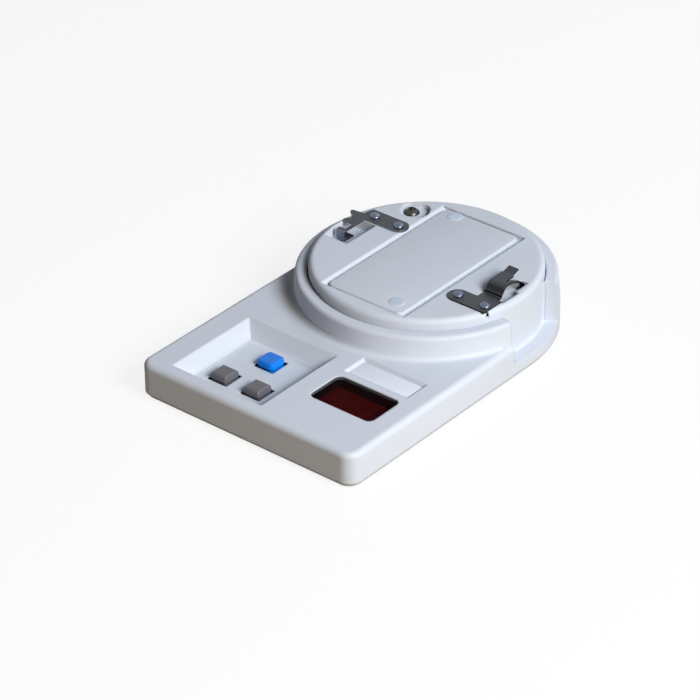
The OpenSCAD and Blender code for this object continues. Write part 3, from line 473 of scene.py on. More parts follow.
BATTERY = PrintedCard("battery_wrap", (0.05, 0.05, 0.055), 0.3, fibre=0.2)
FOOT = Rubber("foot_rubber", (0.02, 0.02, 0.021), 0.75, 0.3, Slot.FOOT_RUBBER)


def settle(piece: bpy.types.Object, finish: Finish, *nodes: str, body: Body = Body.HOUSING) -> None:
    """Ties a finished piece to the part.

    Args:
        piece: The piece, in place.
        finish: Its finish; not used.
        nodes: CAD nodes that it stands for.
        body: Body that it moves with.
    """
    if nodes:
        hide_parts(*nodes)
    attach(piece, body.value)
    LOG.info("%s: %d faces on %s", piece.name, len(piece.data.polygons), body.value)


def carry(finish: Finish, *nodes: str) -> None:
    """Gives CAD nodes that stay a finish."""
    made = finish.material()
    for node in nodes:
        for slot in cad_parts[node].material_slots:
            slot.material = made
        LOG.info("%s: kept with %s", node, made.name)


def link(name: str, data: bpy.types.ID) -> bpy.types.Object:
    """Puts a mesh, a lamp or a camera into the scene.

    Args:
        name: Name of its object.
        data: The mesh, lamp or camera.

    Returns:
        The object.
    """
    made = bpy.data.objects.new(name, data)
    bpy.context.scene.collection.objects.link(made)
    return made


def new_object(name: str, mesh: bpy.types.Mesh, finish: Finish) -> bpy.types.Object:
    """Puts a mesh into the scene with a finish.

    Args:
        name: Name of the mesh and its object.
        mesh: The mesh, in place.
        finish: Its finish.

    Returns:
        The object.
    """
    mesh.name = name
    mesh.materials.append(finish.material())
    return link(name, mesh)


def freed_mesh(shape: bmesh.types.BMesh) -> bpy.types.Mesh:
    """Turns an edited shape into a mesh.

    Args:
        shape: The shape, which is freed.

    Returns:
        The mesh.
    """
    mesh = bpy.data.meshes.new("mesh")
    shape.to_mesh(mesh)
    shape.free()
    return mesh


def smooth(piece: bpy.types.Object, angle: float = 35.0) -> None:
    """Shades a piece smoothly except across edges sharper than an angle in degrees."""
    for face in piece.data.polygons:
        face.use_smooth = True
    piece.data.set_sharp_from_angle(angle=math.radians(angle))


def apply_modifiers(piece: bpy.types.Object) -> None:
    """Replaces a piece's mesh by what its modifiers make of it, and removes them.

    Args:
        piece: The piece.
    """
    bpy.context.view_layer.update()
    graph = bpy.context.evaluated_depsgraph_get()
    whole = piece.evaluated_get(graph)
    mesh = bpy.data.meshes.new_from_object(whole, preserve_all_data_layers=True, depsgraph=graph)
    piece.modifiers.clear()
    old = piece.data
    mesh.name = piece.name
    piece.data = mesh
    bpy.data.meshes.remove(old)


def stand(name: str, mesh: bpy.types.Mesh, finish: Finish, *nodes: str, body: Body = Body.HOUSING,
          sharp: float = 35.0) -> None:
    """Puts a new piece into the scene and ties it to the part.

    Args:
        name: Name of the piece.
        mesh: Its mesh, in place.
        finish: Its finish.
        nodes: CAD nodes that it stands for.
        body: Body that it moves with.
        sharp: Edges sharper than this many degrees stay sharp.
    """
    piece = new_object(name, mesh, finish)
    smooth(piece, sharp)
    settle(piece, finish, *nodes, body=body)


def solid_copy(node: str, name: str, finish: Finish, width: float = 0.1 * MM, segments: int = 2,
               angle: float = 40.0) -> None:
    """Stands a copy for a CAD node, with its flat faces joined and its edges rounded.

    Args:
        node: The node's name.
        name: Name of the new piece.
        finish: Its finish.
        width: Width of the rounding, in metres.
        segments: Faces across it.
        angle: Edges sharper than this many degrees are rounded, and stay sharp in the shading.
    """
    shape = bmesh.new()
    shape.from_mesh(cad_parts[node].data)
    bmesh.ops.remove_doubles(shape, verts=shape.verts, dist=WELD)
    bmesh.ops.dissolve_degenerate(shape, edges=shape.edges, dist=SLIVER)
    bmesh.ops.dissolve_limit(shape, angle_limit=math.radians(FLAT), verts=shape.verts, edges=shape.edges)
    piece = new_object(name, freed_mesh(shape), finish)
    bevel = piece.modifiers.new("edge_break", "BEVEL")
    for key, value in {"width": width, "segments": segments, "limit_method": "ANGLE",
                       "angle_limit": math.radians(angle), "use_clamp_overlap": False,
                       "miter_outer": "MITER_ARC"}.items():
        setattr(bevel, key, value)
    apply_modifiers(piece)
    smooth(piece, angle)
    piece.modifiers.new("weighted", "WEIGHTED_NORMAL").keep_sharp = True
    apply_modifiers(piece)
    settle(piece, finish, node)


def box_middle(node: str) -> Vector:
    """Middle of a CAD node's box."""
    low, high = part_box(node)
    return (low + high) / 2


def from_axis(x: float, y: float, z: float) -> Vector:
    """A point whose plan is given from the axis of the turret."""
    return Vector((HEAD_AXIS[0] + x, HEAD_AXIS[1] + y, z))


def swept_mesh(stations: Sequence[Sequence[Vector]], closed: bool = False) -> bpy.types.Mesh:
    """Closed mesh of a profile that is carried along a path.

    Args:
        stations: The profile's points at each stop of the path.
        closed: Whether the last stop meets the first; otherwise both ends are capped.

    Returns:
        The mesh.
    """
    shape = bmesh.new()
    rings = [[shape.verts.new(p) for p in station] for station in stations]
    count = len(rings[0])
    for ring, following in zip(rings, [*rings[1:], rings[0]] if closed else rings[1:]):
        for i in range(count):
            j = (i + 1) % count
            shape.faces.new((ring[i], ring[j], following[j], following[i]))
    if not closed:
        shape.faces.new(list(reversed(rings[0])))
        shape.faces.new(rings[-1])
    bmesh.ops.recalc_face_normals(shape, faces=shape.faces)
    return freed_mesh(shape)


def square_stations(centre: Plan, profile: Sequence[Plan]) -> list[list[Vector]]:
    """Stops at a square's corners of a profile whose points are given out from its middle and up."""
    x, y = centre[:2]
    return [[Vector((x + sx * half, y + sy * half, z)) for half, z in profile] for sx, sy in CORNERS]


def cove_profile(radius: float, slope: float, sink: float, steps: int = 8) -> list[Plan]:
    """Profile of a hollow fillet between a flat floor and a wall, with its back sunk into both.

    Args:
        radius: Radius of the hollow.
        slope: How far the wall is turned up from the floor, in radians.
        sink: Depth of its back below the two faces.
        steps: Faces across the hollow.

    Returns:
        Points from the wall to the floor and back, in from the corner and up from the floor.
    """
    reach = radius * math.tan(slope / 2)
    turns = [slope * (1 - i / steps) for i in range(steps + 1)]
    hollow = [(reach - radius * math.sin(turn), radius - radius * math.cos(turn)) for turn in turns]
    back = [(reach, -sink), (-sink * math.tan(slope / 2), -sink),
            (hollow[0][0] - sink * math.sin(slope), hollow[0][1] - sink * math.cos(slope))]
    return hollow + back


@dataclass(frozen=True)
class Level:
    """One ring of a rounded block: how far it stands in from the outline, and its height."""

    inset: float
    z: float


def plate_levels(node: str, radius: float, steps: int = 5) -> list[Level]:
    """Rings of a flat plate with a quarter-round upper edge.

    Args:
        node: CAD node whose box gives the plate's heights.
        radius: Radius of the edge.
        steps: Faces across the edge.

    Returns:
        The rings, from the bottom up.
    """
    low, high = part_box(node)
    angles = [math.pi / 2 * i / steps for i in range(steps + 1)]
    edge = [Level(radius * (1 - math.cos(a)), high.z - radius * (1 - math.sin(a))) for a in angles]
    return [Level(0.0, low.z), *edge]


def eased_levels(corners: Sequence[tuple[Level, float]], steps: int = 5) -> list[Level]:
    """Rings of a side profile whose corners are rounded.

    Args:
        corners: Corner of the profile and how far from it its rounding starts, from the bottom up.
        steps: Faces in each rounding.

    Returns:
        The rings.
    """
    spots = [Vector((level.inset, level.z)) for level, _ in corners]
    rings = [corners[0][0]]
    for i in range(1, len(corners) - 1):
        here, reach = spots[i], corners[i][1]
        start = here + (spots[i - 1] - here).normalized() * reach
        end = here + (spots[i + 1] - here).normalized() * reach
        for step in range(steps + 1):
            t = step / steps
            spot = start * (1 - t) ** 2 + here * (2 * t * (1 - t)) + end * t ** 2
            rings.append(Level(spot.x, spot.y))
    return [*rings, corners[-1][0]]


@dataclass(frozen=True)
class RoundedBlock:
    """Block with a rounded rectangular plan, built up from rings on the box of the node that it replaces.

    Attributes:
        corner: Plan radius of its corners, and least that of a ring which stands far in.
        arc: Steps in each corner.
    """

    node: str
    corner: float
    levels: list[Level]
    arc: int = 8
    least: float = 0.08 * MM

    def ring(self, level: Level) -> list[Vector]:
        """Works out one ring.

        Args:
            level: Its inset and height.

        Returns:
            Its points, anticlockwise seen from above.
        """
        low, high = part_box(self.node)
        middle = box_middle(self.node)
        radius = max(self.corner - level.inset, self.least)
        half_x, half_y = ((high[i] - low[i]) / 2 - level.inset - radius for i in (0, 1))
        points = []
        for quarter, (sx, sy) in enumerate(CORNERS):
            for step in range(self.arc + 1):
                angle = math.pi / 2 * (quarter + step / self.arc)
                points.append(Vector((middle.x + sx * half_x + radius * math.cos(angle),
                                      middle.y + sy * half_y + radius * math.sin(angle), level.z)))
        return points

    def build(self, name: str, finish: Finish, **options: Any) -> None:
        """Stands the block for its node, with the body and the sharpness as options."""
        stand(name, swept_mesh([self.ring(level) for level in self.levels]), finish, self.node, **options)


class Scatter:
    """A geometry tree that sets copies of one shape on points, with the shape's sizes as named inputs."""

    KINDS = {float: "NodeSocketFloat", int: "NodeSocketInt", bool: "NodeSocketBool",
             bpy.types.Material: "NodeSocketMaterial"}

    def __init__(self, name: str, finish: Finish, shape: "DomedStuds | BarSegments") -> None:
        """Starts the tree.

        Args:
            name: Name of the tree and of its piece.
            finish: The piece's finish.
            shape: The shape, whose fields are the inputs.
        """
        self.name = name
        self.finish = finish
        self.tree = bpy.data.node_groups.new(name, "GeometryNodeTree")
        self.graph = Graph(self.tree)
        face = self.tree.interface
        face.new_socket("geometry", in_out="INPUT", socket_type="NodeSocketGeometry")
        face.new_socket("geometry", in_out="OUTPUT", socket_type="NodeSocketGeometry")
        self.values: dict[str, Any] = {}
        for label, value in {**vars(shape), "finish": finish.material()}.items():
            made = face.new_socket(label, in_out="INPUT", socket_type=self.KINDS[type(value)])
            self.values[made.identifier] = value
        self.entry = self.graph.node("NodeGroupInput")

    def given(self, *labels: str) -> list[Wire]:
        """Some of the tree's inputs."""
        return [Wire(self.graph, self.entry.outputs[label]) for label in labels]

    def run(self, shape: Wire, turn: Wire, spots: Sequence[Vector], turns: Sequence[float] = (),
            nodes: Sequence[str] = ()) -> None:
        """Ends the tree in real geometry with its material set, and stands its plain mesh in the scene.

        Args:
            shape: What is set on each spot.
            turn: How each copy is turned.
            spots: Places of the copies.
            turns: Turn of each copy about Z, in radians, where the tree reads it.
            nodes: CAD nodes that the piece stands for.
        """
        graph = self.graph
        base, finish = self.given("geometry", "finish")
        whole = graph.wire("GeometryNodeMergeByDistance", {"Geometry": shape, "Distance": WELD})
        points = graph.wire("GeometryNodeMeshToPoints", {0: base})
        copies = graph.wire("GeometryNodeInstanceOnPoints",
                            {"Points": points, "Instance": whole, "Rotation": turn})
        real = graph.wire("GeometryNodeRealizeInstances", {0: copies})
        dressed = graph.wire("GeometryNodeSetMaterial", {"Geometry": real, "Material": finish})
        graph.node("NodeGroupOutput", {0: dressed})
        mesh = bpy.data.meshes.new(self.name)
        mesh.from_pydata([tuple(spot) for spot in spots], [], [])
        if turns:
            mesh.attributes.new("turn", "FLOAT", "POINT").data.foreach_set("value", turns)
        piece = new_object(self.name, mesh, self.finish)
        modifier = piece.modifiers.new(self.name, "NODES")
        modifier.node_group = self.tree
        for identifier, value in self.values.items():
            modifier[identifier] = value
        apply_modifiers(piece)
        cleaned = bmesh.new()
        cleaned.from_mesh(piece.data)
        bmesh.ops.remove_doubles(cleaned, verts=cleaned.verts, dist=WELD)
        bmesh.ops.recalc_face_normals(cleaned, faces=cleaned.faces)
        cleaned.to_mesh(piece.data)
        cleaned.free()
        piece.data.materials.clear()
        piece.data.materials.append(self.finish.material())
        smooth(piece)
        settle(piece, self.finish, *nodes)


@dataclass(frozen=True)
class DomedStuds:
    """Equal round studs with a domed top, such as rivets, plugs and feet.

    Attributes:
        squareness: 1 is an ellipse; less makes the top flatter and the side steeper.
        dimple: Depth of a hollow in the crown, and dimple_power how narrow it is.
        rows: Faces from its side to its crown.
    """

    diameter: float
    height: float
    squareness: float
    dimple: float = 0.0
    dimple_power: float = 3.0
    upside_down: bool = False
    around: int = 40
    rows: int = 16

    def build(self, name: str, spots: Sequence[Vector], finish: Finish, *nodes: str) -> None:
        """Builds the studs.

        Args:
            name: Name of the piece.
            spots: Middle of each stud's seat.
            finish: Their finish.
            nodes: CAD nodes that they stand for.
        """
        tree = Scatter(name, finish, self)
        graph = tree.graph
        diameter, height, squareness, dimple, power, upside_down, around, rows = tree.given(*vars(self))
        grid = graph.wire("GeometryNodeMeshGrid", {
            "Size X": 1.0, "Size Y": 1.0, "Vertices X": around + 1.0, "Vertices Y": rows + 2.0})
        across, along, _ = graph.parts(graph.wire("GeometryNodeInputPosition"))
        angle = (across + 0.5) * (2 * math.pi)
        row = (along + 0.5) * (rows + 1.0)
        # Row 0 is the middle of the seat and row 1 its rim; the others climb the dome
        climb = (row - 1.0).highest(0.0) / rows * (math.pi / 2)
        reach = climb.cosine().highest(0.0) ** squareness * row.above(0.5)
        hollow = (1.0 - reach * reach) ** power * dimple * row.above(1.5)
        rise = climb.sine().highest(0.0) ** squareness * height - hollow
        radius = reach * diameter * 0.5
        spot = graph.vector(radius * angle.cosine(), radius * angle.sine(), rise.highest(0.0))
        stud = graph.wire("GeometryNodeSetPosition", {"Geometry": grid, "Position": spot})
        tree.run(stud, graph.vector(upside_down * math.pi), spots, nodes=nodes)


@dataclass(frozen=True)
class BarSegments:
    """Thin six-sided bars of a numeric display.

    Attributes:
        flank: Half the width, as a share of the width over the height of a hexagon's corners.
    """

    length: float
    width: float
    thickness: float
    flank: float = 0.577

    def build(self, name: str, spots: Sequence[Vector], turns: Sequence[float], finish: Finish) -> None:
        """Builds the bars.

        Args:
            name: Name of the piece.
            spots: Middle of each bar's underside.
            turns: Turn of each bar about Z, in radians.
            finish: Their finish.
        """
        tree = Scatter(name, finish, self)
        graph = tree.graph
        length, width, thickness, flank = tree.given(*vars(self))
        hexagon = graph.wire("GeometryNodeMeshCircle", {"Vertices": 6, "Radius": 1.0}, {"fill_type": "NGON"})
        across, aside, _ = graph.parts(graph.wire("GeometryNodeInputPosition"))
        ends = across * width * 0.5 + across.sign() * (length - width) * 0.5
        flat = graph.wire("GeometryNodeSetPosition",
                          {"Geometry": hexagon, "Position": graph.vector(ends, aside * width * flank)})
        raised = {"Mesh": flat, "Offset Scale": thickness}
        sides = graph.wire("GeometryNodeExtrudeMesh", raised, {"mode": "FACES"})
        under = graph.wire("GeometryNodeFlipFaces", {0: flat})
        both = graph.wire("GeometryNodeJoinGeometry", {0: [sides, under]})
        turn = graph.wire("GeometryNodeInputNamedAttribute", {"Name": "turn"}, {"data_type": "FLOAT"})
        tree.run(both, graph.vector(z=turn), spots, turns)


@dataclass
class Casing:
    """Top case and label; inner corners get hollow fillets, narrow joints are closed and the key holes get
    thin black sleeves of painted shade.

    Attributes:
        recess_half: Half the key recess at the deck.
        notch_span: Ends of the finger notch, in degrees from +X.
        notch_gap: From the disc to the notch's end walls.
        post_span: Width of the posts that close the notch's ends, in degrees.
        side_joint: Radii of the joint between the notch's front wall and the case's side.
        sink: How far the trim is sunk into the case; each lap is how far it reaches into what it meets.
    """

    label_corner: float = 0.6 * MM
    label_edge: float = 0.12 * MM
    deck: float = 16.1 * MM
    recess_centre: Plan = (-18.95 * MM, -55.55 * MM)
    recess_half: float = 23.25 * MM
    recess_depth: float = 6.0 * MM
    recess_cove: float = 5.0 * MM
    recess_sink: float = 0.3 * MM
    key_hole: float = 9.8 * MM
    shade_sleeve: float = 0.12 * MM
    shade_sleeve_gap: float = 0.005 * MM
    shade_sleeve_depth: float = 1.8 * MM
    head_radius: float = 48.4 * MM
    notch_floor: float = 7.2 * MM
    notch_cove: float = 1.5 * MM
    notch_top: float = 25.2 * MM
    notch_span: tuple[float, float] = (-13.0, 27.5)
    notch_gap: float = 0.7 * MM
    post_span: float = 1.6
    side_joint: tuple[float, float] = (53.2 * MM, 54.5 * MM)
    side_joint_top: float = 14.2 * MM
    sink: float = 0.2 * MM
    disc_lap: float = 0.1 * MM
    wall_lap: float = 0.05 * MM
    post_lap: float = 0.03
    cove_lap: float = 0.3
    least_steps: int = 2

    def build(self) -> None:
        """Dresses the top case and builds the label and the case's trim."""
        carry(SHELL, "top_case")
        self.build_recess_cove()
        self.build_notch_trim()
        self.build_key_hole_shade()
        levels = plate_levels("label_plate", self.label_edge, steps=3)
        RoundedBlock("label_plate", self.label_corner, levels).build("label_card", LABEL)

    def build_recess_cove(self) -> None:
        """Builds the hollow fillet round the floor of the key recess."""
        floor = self.deck - self.recess_depth
        corner = self.recess_half - self.recess_depth
        cove = cove_profile(self.recess_cove, math.pi / 4, self.recess_sink)
        profile = [(corner - u, floor + v) for u, v in cove]
        stand("recess_cove", swept_mesh(square_stations(self.recess_centre, profile), closed=True), COVE)

    def turret_sector(self, name: str, profile: Sequence[Plan], first: float, last: float) -> None:
        """Builds a piece with one profile along an arc round the turret's axis.

        Args:
            name: Name of the piece.
            profile: Its points as radius and height.
            first: Start of the arc, in degrees from +X.
            last: End of the arc.
        """
        steps = max(self.least_steps, round(last - first))
        angles = [math.radians(first + (last - first) * i / steps) for i in range(steps + 1)]
        stations = [[from_axis(r * math.cos(a), r * math.sin(a), z) for r, z in profile] for a in angles]
        stand(name, swept_mesh(stations), COVE)

    def build_notch_trim(self) -> None:
        """Builds the hollow fillet along the foot of the finger notch and closes the joints at its ends."""
        first, last = self.notch_span
        foot = self.notch_floor - self.sink
        inner = self.head_radius - self.disc_lap
        outer = self.head_radius + self.notch_gap + self.wall_lap
        cove = cove_profile(self.notch_cove, math.pi / 2, self.sink)
        profile = [(max(inner + u, inner), self.notch_floor + v) for u, v in cove]
        self.turret_sector("notch_cove", profile, first - self.cove_lap, last + self.cove_lap)
        front = (first - self.post_span, first + self.post_lap)
        back = (last - self.post_lap, last + self.post_span)
        for name, (near, far), top, span in (
            ("notch_jamb_back", (inner, outer), self.notch_top, back),
            ("notch_jamb_front", (inner, outer), self.notch_top, front),
            ("notch_jamb_side", self.side_joint, self.side_joint_top, front),
        ):
            self.turret_sector(name, [(near, foot), (far, foot), (far, top), (near, top)], *span)

    def build_key_hole_shade(self) -> None:
        """Builds a thin black sleeve on the wall of each key's hole below the floor, as painted shade."""
        floor = self.deck - self.recess_depth
        outer = self.key_hole / 2 - self.shade_sleeve_gap
        inner = outer - self.shade_sleeve
        low, high = floor - self.shade_sleeve_depth, floor - self.shade_sleeve
        profile = [(outer, low), (outer, high), (inner, high), (inner, low)]
        # Black sleeves put painted shade inside each key hole
        for key in ("blue", "grey_left", "grey_right"):
            mesh = swept_mesh(square_stations(box_middle(f"key_{key}"), profile), closed=True)
            stand(f"key_liner_{key}", mesh, BLACK)


@dataclass
class DetectorHead:
    """Head disc with its lid, plugs, sprung contacts, rivets and screw, and a black bead of painted shade in
    the sighting hole beside the right contact.

    Attributes:
        rivets: Places of the rivets from the disc's axis.
        bead_drop: How far the bead's seat is under the disc's top.
    """

    rivets: tuple[Plan, ...] = ((-37.2 * MM, 12.4 * MM), (-24.6 * MM, 12.4 * MM),
                                (28.4 * MM, -15.4 * MM), (42.0 * MM, -15.4 * MM))
    rivet: DomedStuds = DomedStuds(diameter=4.6 * MM, height=1.3 * MM, squareness=0.85)
    plug: DomedStuds = DomedStuds(diameter=6.6 * MM, height=0.28 * MM, squareness=0.6)
    bead: DomedStuds = DomedStuds(diameter=1.3 * MM, height=1.5 * MM, squareness=0.6, around=24, rows=10)
    bead_place: Plan = (44.5 * MM, -17.3 * MM)
    bead_drop: float = 2.0 * MM
    lid_corner: float = 3.0 * MM
    lid_edge: float = 0.8 * MM

    def build(self) -> None:
        """Builds and dresses every piece of the head."""
        carry(SHELL, "head_disc")
        lid = RoundedBlock("head_lid", self.lid_corner, plate_levels("head_lid", self.lid_edge))
        lid.build("lid_plate", LID)
        self.build_plugs()
        solid_copy("contact_left", "contact_spring_left", SPRING_PAINTED_LIGHT)
        solid_copy("contact_right", "contact_spring_right", SPRING)
        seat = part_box("contact_rivets")[1].z - self.rivet.height
        spots = [from_axis(x, y, seat) for x, y in self.rivets]
        self.rivet.build("rivet_heads", spots, RIVET, "contact_rivets")
        solid_copy("head_screw", "pocket_screw", DARK_SCREW)
        # A black bead sunk in the sighting hole is painted shade for its dark inside
        spot = from_axis(*self.bead_place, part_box("head_disc")[1].z - self.bead_drop)
        self.bead.build("sight_hole_shade", [spot], BLACK)

    def build_plugs(self) -> None:
        """Builds the push plugs at two opposite corners of the lid."""
        low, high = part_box("lid_plugs")
        x, y = ((high[i] - low[i] - self.plug.diameter) / 2 for i in (0, 1))
        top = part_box("head_lid")[1].z
        spots = [from_axis(-x, y, top), from_axis(x, -y, top)]
        self.plug.build("push_plugs", spots, PLUG, "lid_plugs")


@dataclass
class KeyCap:
    """One pressed key: an undercut foot, sloping sides with a rounded lower edge and a slightly dished top.

    Attributes:
        foot_inset: How far the foot stands in, and foot_edge the rounding over it.
        widest: Height of the lower edge above the foot's bottom.
        top_half: Half the width that the sides would have at the top.
        ease: Free space between the cap and its node's box.
        dish_insets: Where the hollow in the top starts and ends, as shares of half the cap.
    """

    key: str
    body: Body
    finish: Finish
    corner: float
    foot_inset: float = 0.45 * MM
    foot_height: float = 1.85 * MM
    foot_edge: float = 0.1 * MM
    widest: float = 2.5 * MM
    top_half: float = 3.8 * MM
    ease: float = 0.05 * MM
    lower_edge: float = 0.6 * MM
    crown: float = 1.1 * MM
    dish: float = 0.05 * MM
    dish_edge: float = 0.5 * MM
    dish_insets: tuple[float, float] = (0.55, 0.8)

    def build(self) -> None:
        """Builds and dresses the key."""
        node = f"key_{self.key}"
        low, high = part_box(node)
        half = (high.x - low.x) / 2
        start, end = (half * share for share in self.dish_insets)
        levels = eased_levels([
            (Level(self.foot_inset, low.z), 0.0),
            (Level(self.foot_inset, low.z + self.foot_height), self.foot_edge),
            (Level(self.ease, low.z + self.widest), self.lower_edge),
            (Level(half - self.top_half, high.z), self.crown),
            (Level(start, high.z - self.dish / 2), self.dish_edge),
            (Level(end, high.z - self.dish), 0.0),
        ])
        cap = RoundedBlock(node, self.corner, levels)
        cap.build(f"key_cap_{self.key}", self.finish, body=self.body, sharp=50.0)


@dataclass
class Keypad:
    """The blue key and the two grey keys with their switches."""

    def build(self) -> None:
        """Builds and dresses the keys and dresses their switches."""
        KeyCap("blue", Body.KEY_BLUE, BLUE_KEY, 2.1 * MM, top_half=4.15 * MM).build()
        KeyCap("grey_left", Body.KEY_GREY_LEFT, GREY_KEY, 1.3 * MM).build()
        KeyCap("grey_right", Body.KEY_GREY_RIGHT, GREY_KEY, 1.3 * MM).build()
        carry(BLACK, "plunger_blue", "plunger_grey_left", "plunger_grey_right", "switch_bodies")


@dataclass
class Display:
    """Dyed window over three unlit numeric modules in a black shroud.

    Attributes:
        stroke: Width of a bar.
        tip_gap: How much shorter a bar is than half a digit's height.
        lean: Slant of the digits, in degrees.
        relief: How far bars and points stand up.
        point_gap: From a digit's side to the middle of its point.
    """

    digits: int = 3
    pitch: float = 9.7 * MM
    digit_width: float = 5.4 * MM
    digit_height: float = 10.6 * MM
    stroke: float = 1.15 * MM
    tip_gap: float = 0.25 * MM
    lean: float = 8.0
    relief: float = 0.08 * MM
    point_diameter: float = 1.2 * MM
    point_gap: float = 1.3 * MM
    window_corner: float = 2.7 * MM
    window_edge: float = 0.3 * MM

    def build(self) -> None:
        """Builds and dresses the window and the segments, and dresses the rest."""
        levels = plate_levels("display_window", self.window_edge, steps=4)
        pane = RoundedBlock("display_window", self.window_corner, levels, arc=10)
        pane.build("window_pane", WINDOW)
        carry(BLACK, "display_shroud")
        carry(DIGIT_BODY, "digit_modules")
        self.build_segments()

    def build_segments(self) -> None:
        """Builds the segments and points of the digits."""
        middle = box_middle("digit_modules")
        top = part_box("digit_modules")[1].z
        w, h = self.digit_width / 2, self.digit_height / 2
        lean = math.radians(self.lean)
        slant = math.tan(lean)
        bars = [(0.0, h, 0.0), (0.0, 0.0, 0.0), (0.0, -h, 0.0),
                *[(sx * w, sy * h / 2, math.pi / 2 - lean) for sx in (-1, 1) for sy in (-1, 1)]]
        centres = [middle.x + (i - (self.digits - 1) / 2) * self.pitch for i in range(self.digits)]
        spots = [Vector((x + dx + dy * slant, middle.y + dy, top)) for x in centres for dx, dy, _ in bars]
        points = [Vector((x + w + self.point_gap - h * slant, middle.y - h, top)) for x in centres]
        turns = [turn for _, _, turn in bars] * self.digits
        bar = BarSegments(h - self.tip_gap, self.stroke, self.relief)
        bar.build("digit_bars", spots, turns, SEGMENT)
        dots = DomedStuds(self.point_diameter, self.relief, squareness=0.3, around=20, rows=4)
        dots.build("digit_points", points, SEGMENT)


@dataclass
class Electronics:
    """Board, parts and battery inside the casing."""

    def build(self) -> None:
        """Dresses every inner node."""
        for node, finish in {
            "circuit_board": BOARD, "controller_chip": CHIP, "crystal": CAN, "capacitors": CAPACITOR,
            "lead_header": HEADER, "board_screws": SCREW, "battery": BATTERY, "battery_clip": BLACK,
        }.items():
            carry(finish, node)


@dataclass
class Underside:
    """Bottom cover, battery door, case screws and rubber feet."""

    foot_diameter: float = 12 * MM
    front_feet: Plan = (44 * MM, -62 * MM)
    back_feet: Plan = (38 * MM, 46 * MM)

    def build(self) -> None:
        """Builds and dresses the pieces seen from below."""
        carry(COVER, "bottom_cover", "battery_door")
        carry(SCREW, "case_screws")
        low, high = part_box("rubber_feet")
        feet = DomedStuds(self.foot_diameter, high.z - low.z, squareness=0.22, dimple=0.25 * MM,
                          upside_down=True, around=48, rows=18)
        spots = [Vector((s * x, y, high.z)) for x, y in (self.front_feet, self.back_feet) for s in (-1, 1)]
        feet.build("bench_feet", spots, FOOT, "rubber_feet")


@dataclass(frozen=True)
class Lamp:
    """One soft round area lamp that points at the part.

    Attributes:
        azimuth: Degrees from +X towards +Y.
        elevation: Degrees above the floor.
        size: Diameter in metres, and distance metres from the part.
        power: Watts.
    """

    name: str
    azimuth: float
    elevation: float
    size: float
    power: float
    colour: Colour
    distance: float = 1.5

    def build(self, target: Vector) -> None:
        """Hangs the lamp.

        Args:
            target: The point that it faces.
        """
        data = bpy.data.lights.new(self.name, "AREA")
        data.shape = "DISK"
        data.size = self.size
        data.energy = self.power
        data.color = self.colour
        lamp = link(self.name, data)
        a, e = math.radians(self.azimuth), math.radians(self.elevation)
        away = Vector((math.cos(a) * math.cos(e), math.sin(a) * math.cos(e), math.sin(e)))
        lamp.location = target + away * self.distance
        lamp.rotation_euler = away.to_track_quat("Z", "Y").to_euler()


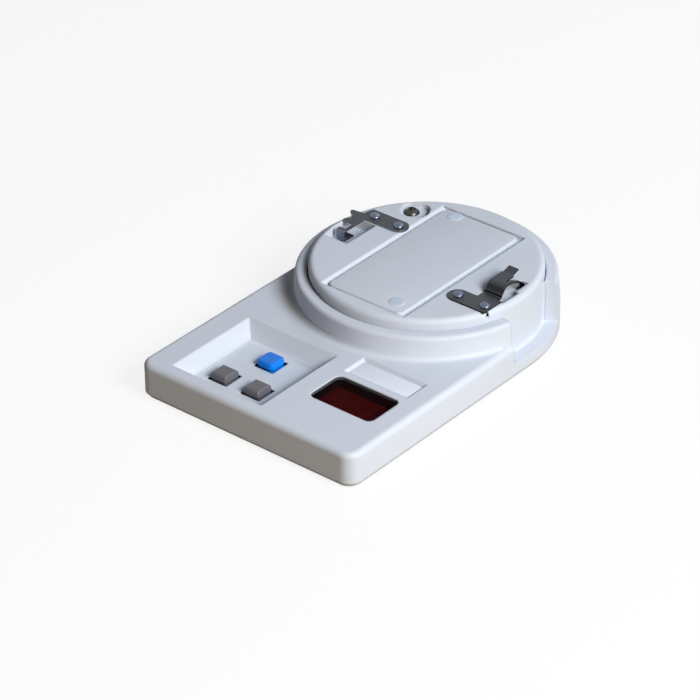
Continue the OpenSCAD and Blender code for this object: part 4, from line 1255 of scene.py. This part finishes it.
@dataclass
class Studio:
    """Pale floor, soft lamps, white surroundings and the camera.

    Attributes:
        azimuth: Where the camera stands, in degrees from -Y towards +X.
        elevation: Degrees above the floor, and roll the turn about its own axis.
        offset: The camera's place from the target, to its right, up and back.
        lens: Focal length, in millimetres, on a sensor of this width.
        floor_glow: Share of the floor's white that is its own.
        floor_bounce: Colour of the floor as the part is lit by it.
    """

    azimuth: float = 39.82
    elevation: float = 32.20
    roll: float = -0.51
    offset: Triple = (42.47 * MM, 34.55 * MM, 1330.44 * MM)
    target: Triple = (-0.5 * MM, -85.5 * MM, 2.2 * MM)
    lens: float = 175.26
    sensor: float = 36.0
    floor_half: float = 6.0
    floor_glow: float = 0.86
    floor_cloth: Colour = (0.95, 0.95, 0.95)
    floor_bounce: Colour = (0.42, 0.365, 0.285)
    white: Colour = (1.0, 1.0, 1.0)
    lamp_target: Triple = (0.0, 0.0, 15.0 * MM)
    lamps: tuple[Lamp, ...] = (
        Lamp("key_lamp", -5.0, 39.0, 0.7, 21.3, (0.76, 0.89, 1.0)),
        Lamp("warm_lamp", -20.0, 30.0, 0.7, 12.2, (1.0, 0.79, 0.55)),
        Lamp("back_lamp", 90.0, 45.0, 0.9, 3.0, (0.85, 0.88, 1.0)),
    )

    def build(self) -> None:
        """Sets up everything round the part."""
        self.build_world()
        self.build_floor()
        for lamp in self.lamps:
            lamp.build(Vector(self.lamp_target))
        self.build_camera()
        bpy.context.scene.view_settings.view_transform = "Standard"

    def build_world(self) -> None:
        """Surroundings that are seen as plain white and give no light."""
        world = bpy.data.worlds.new("surroundings")
        bpy.context.scene.world = world
        world.use_nodes = True
        graph = Graph(world.node_tree)
        white = graph.wire("ShaderNodeBackground", {"Color": self.white})
        graph.node("ShaderNodeOutputWorld",
                   {"Surface": graph.wire("ShaderNodeMixShader", {0: graph.seen(), 2: white})})

    def build_floor(self) -> None:
        """Pale bench that reads white and keeps the part's soft shadow."""
        mesh = bpy.data.meshes.new("bench")
        spots = [(sx * self.floor_half, sy * self.floor_half, 0.0) for sx, sy in CORNERS]
        mesh.from_pydata(spots, [], [(0, 1, 2, 3)])
        made = bpy.data.materials.new("bench_white")
        made.use_nodes = True
        graph = Graph(made.node_tree)
        cloth = graph.wire("ShaderNodeBsdfDiffuse", {"Color": self.floor_cloth})
        glow = graph.wire("ShaderNodeEmission", {"Color": self.white})
        pale = graph.wire("ShaderNodeMixShader", {0: self.floor_glow, 1: cloth, 2: glow})
        bounce = graph.wire("ShaderNodeBsdfDiffuse", {"Color": self.floor_bounce})
        surface = graph.wire("ShaderNodeMixShader", {0: graph.seen(), 1: bounce, 2: pale})
        graph.node("ShaderNodeOutputMaterial", {"Surface": surface})
        mesh.materials.append(made)
        floor = link("bench", mesh)

    def build_camera(self) -> None:
        """Long-lens camera above the front right corner."""
        place = Matrix.Translation(self.target)
        for angle, axis in ((self.azimuth, "Z"), (90.0 - self.elevation, "X"), (self.roll, "Z")):
            place = place @ Matrix.Rotation(math.radians(angle), 4, axis)
        data = bpy.data.cameras.new("bench_camera")
        data.lens = self.lens
        data.sensor_width = self.sensor
        data.sensor_fit = "HORIZONTAL"
        camera = link("bench_camera", data)
        camera.matrix_world = place @ Matrix.Translation(self.offset)
        bpy.context.scene.camera = camera


def main() -> None:
    """Builds the studio and every sub-assembly in order."""
    logging.basicConfig(level=logging.INFO, format="%(name)s %(message)s")
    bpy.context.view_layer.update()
    Studio().build()
    for assembly in (Casing(), DetectorHead(), Keypad(), Display(), Electronics(), Underside()):
        LOG.info("building %s", type(assembly).__name__)
        assembly.build()


if __name__ == "__main__":
    main()
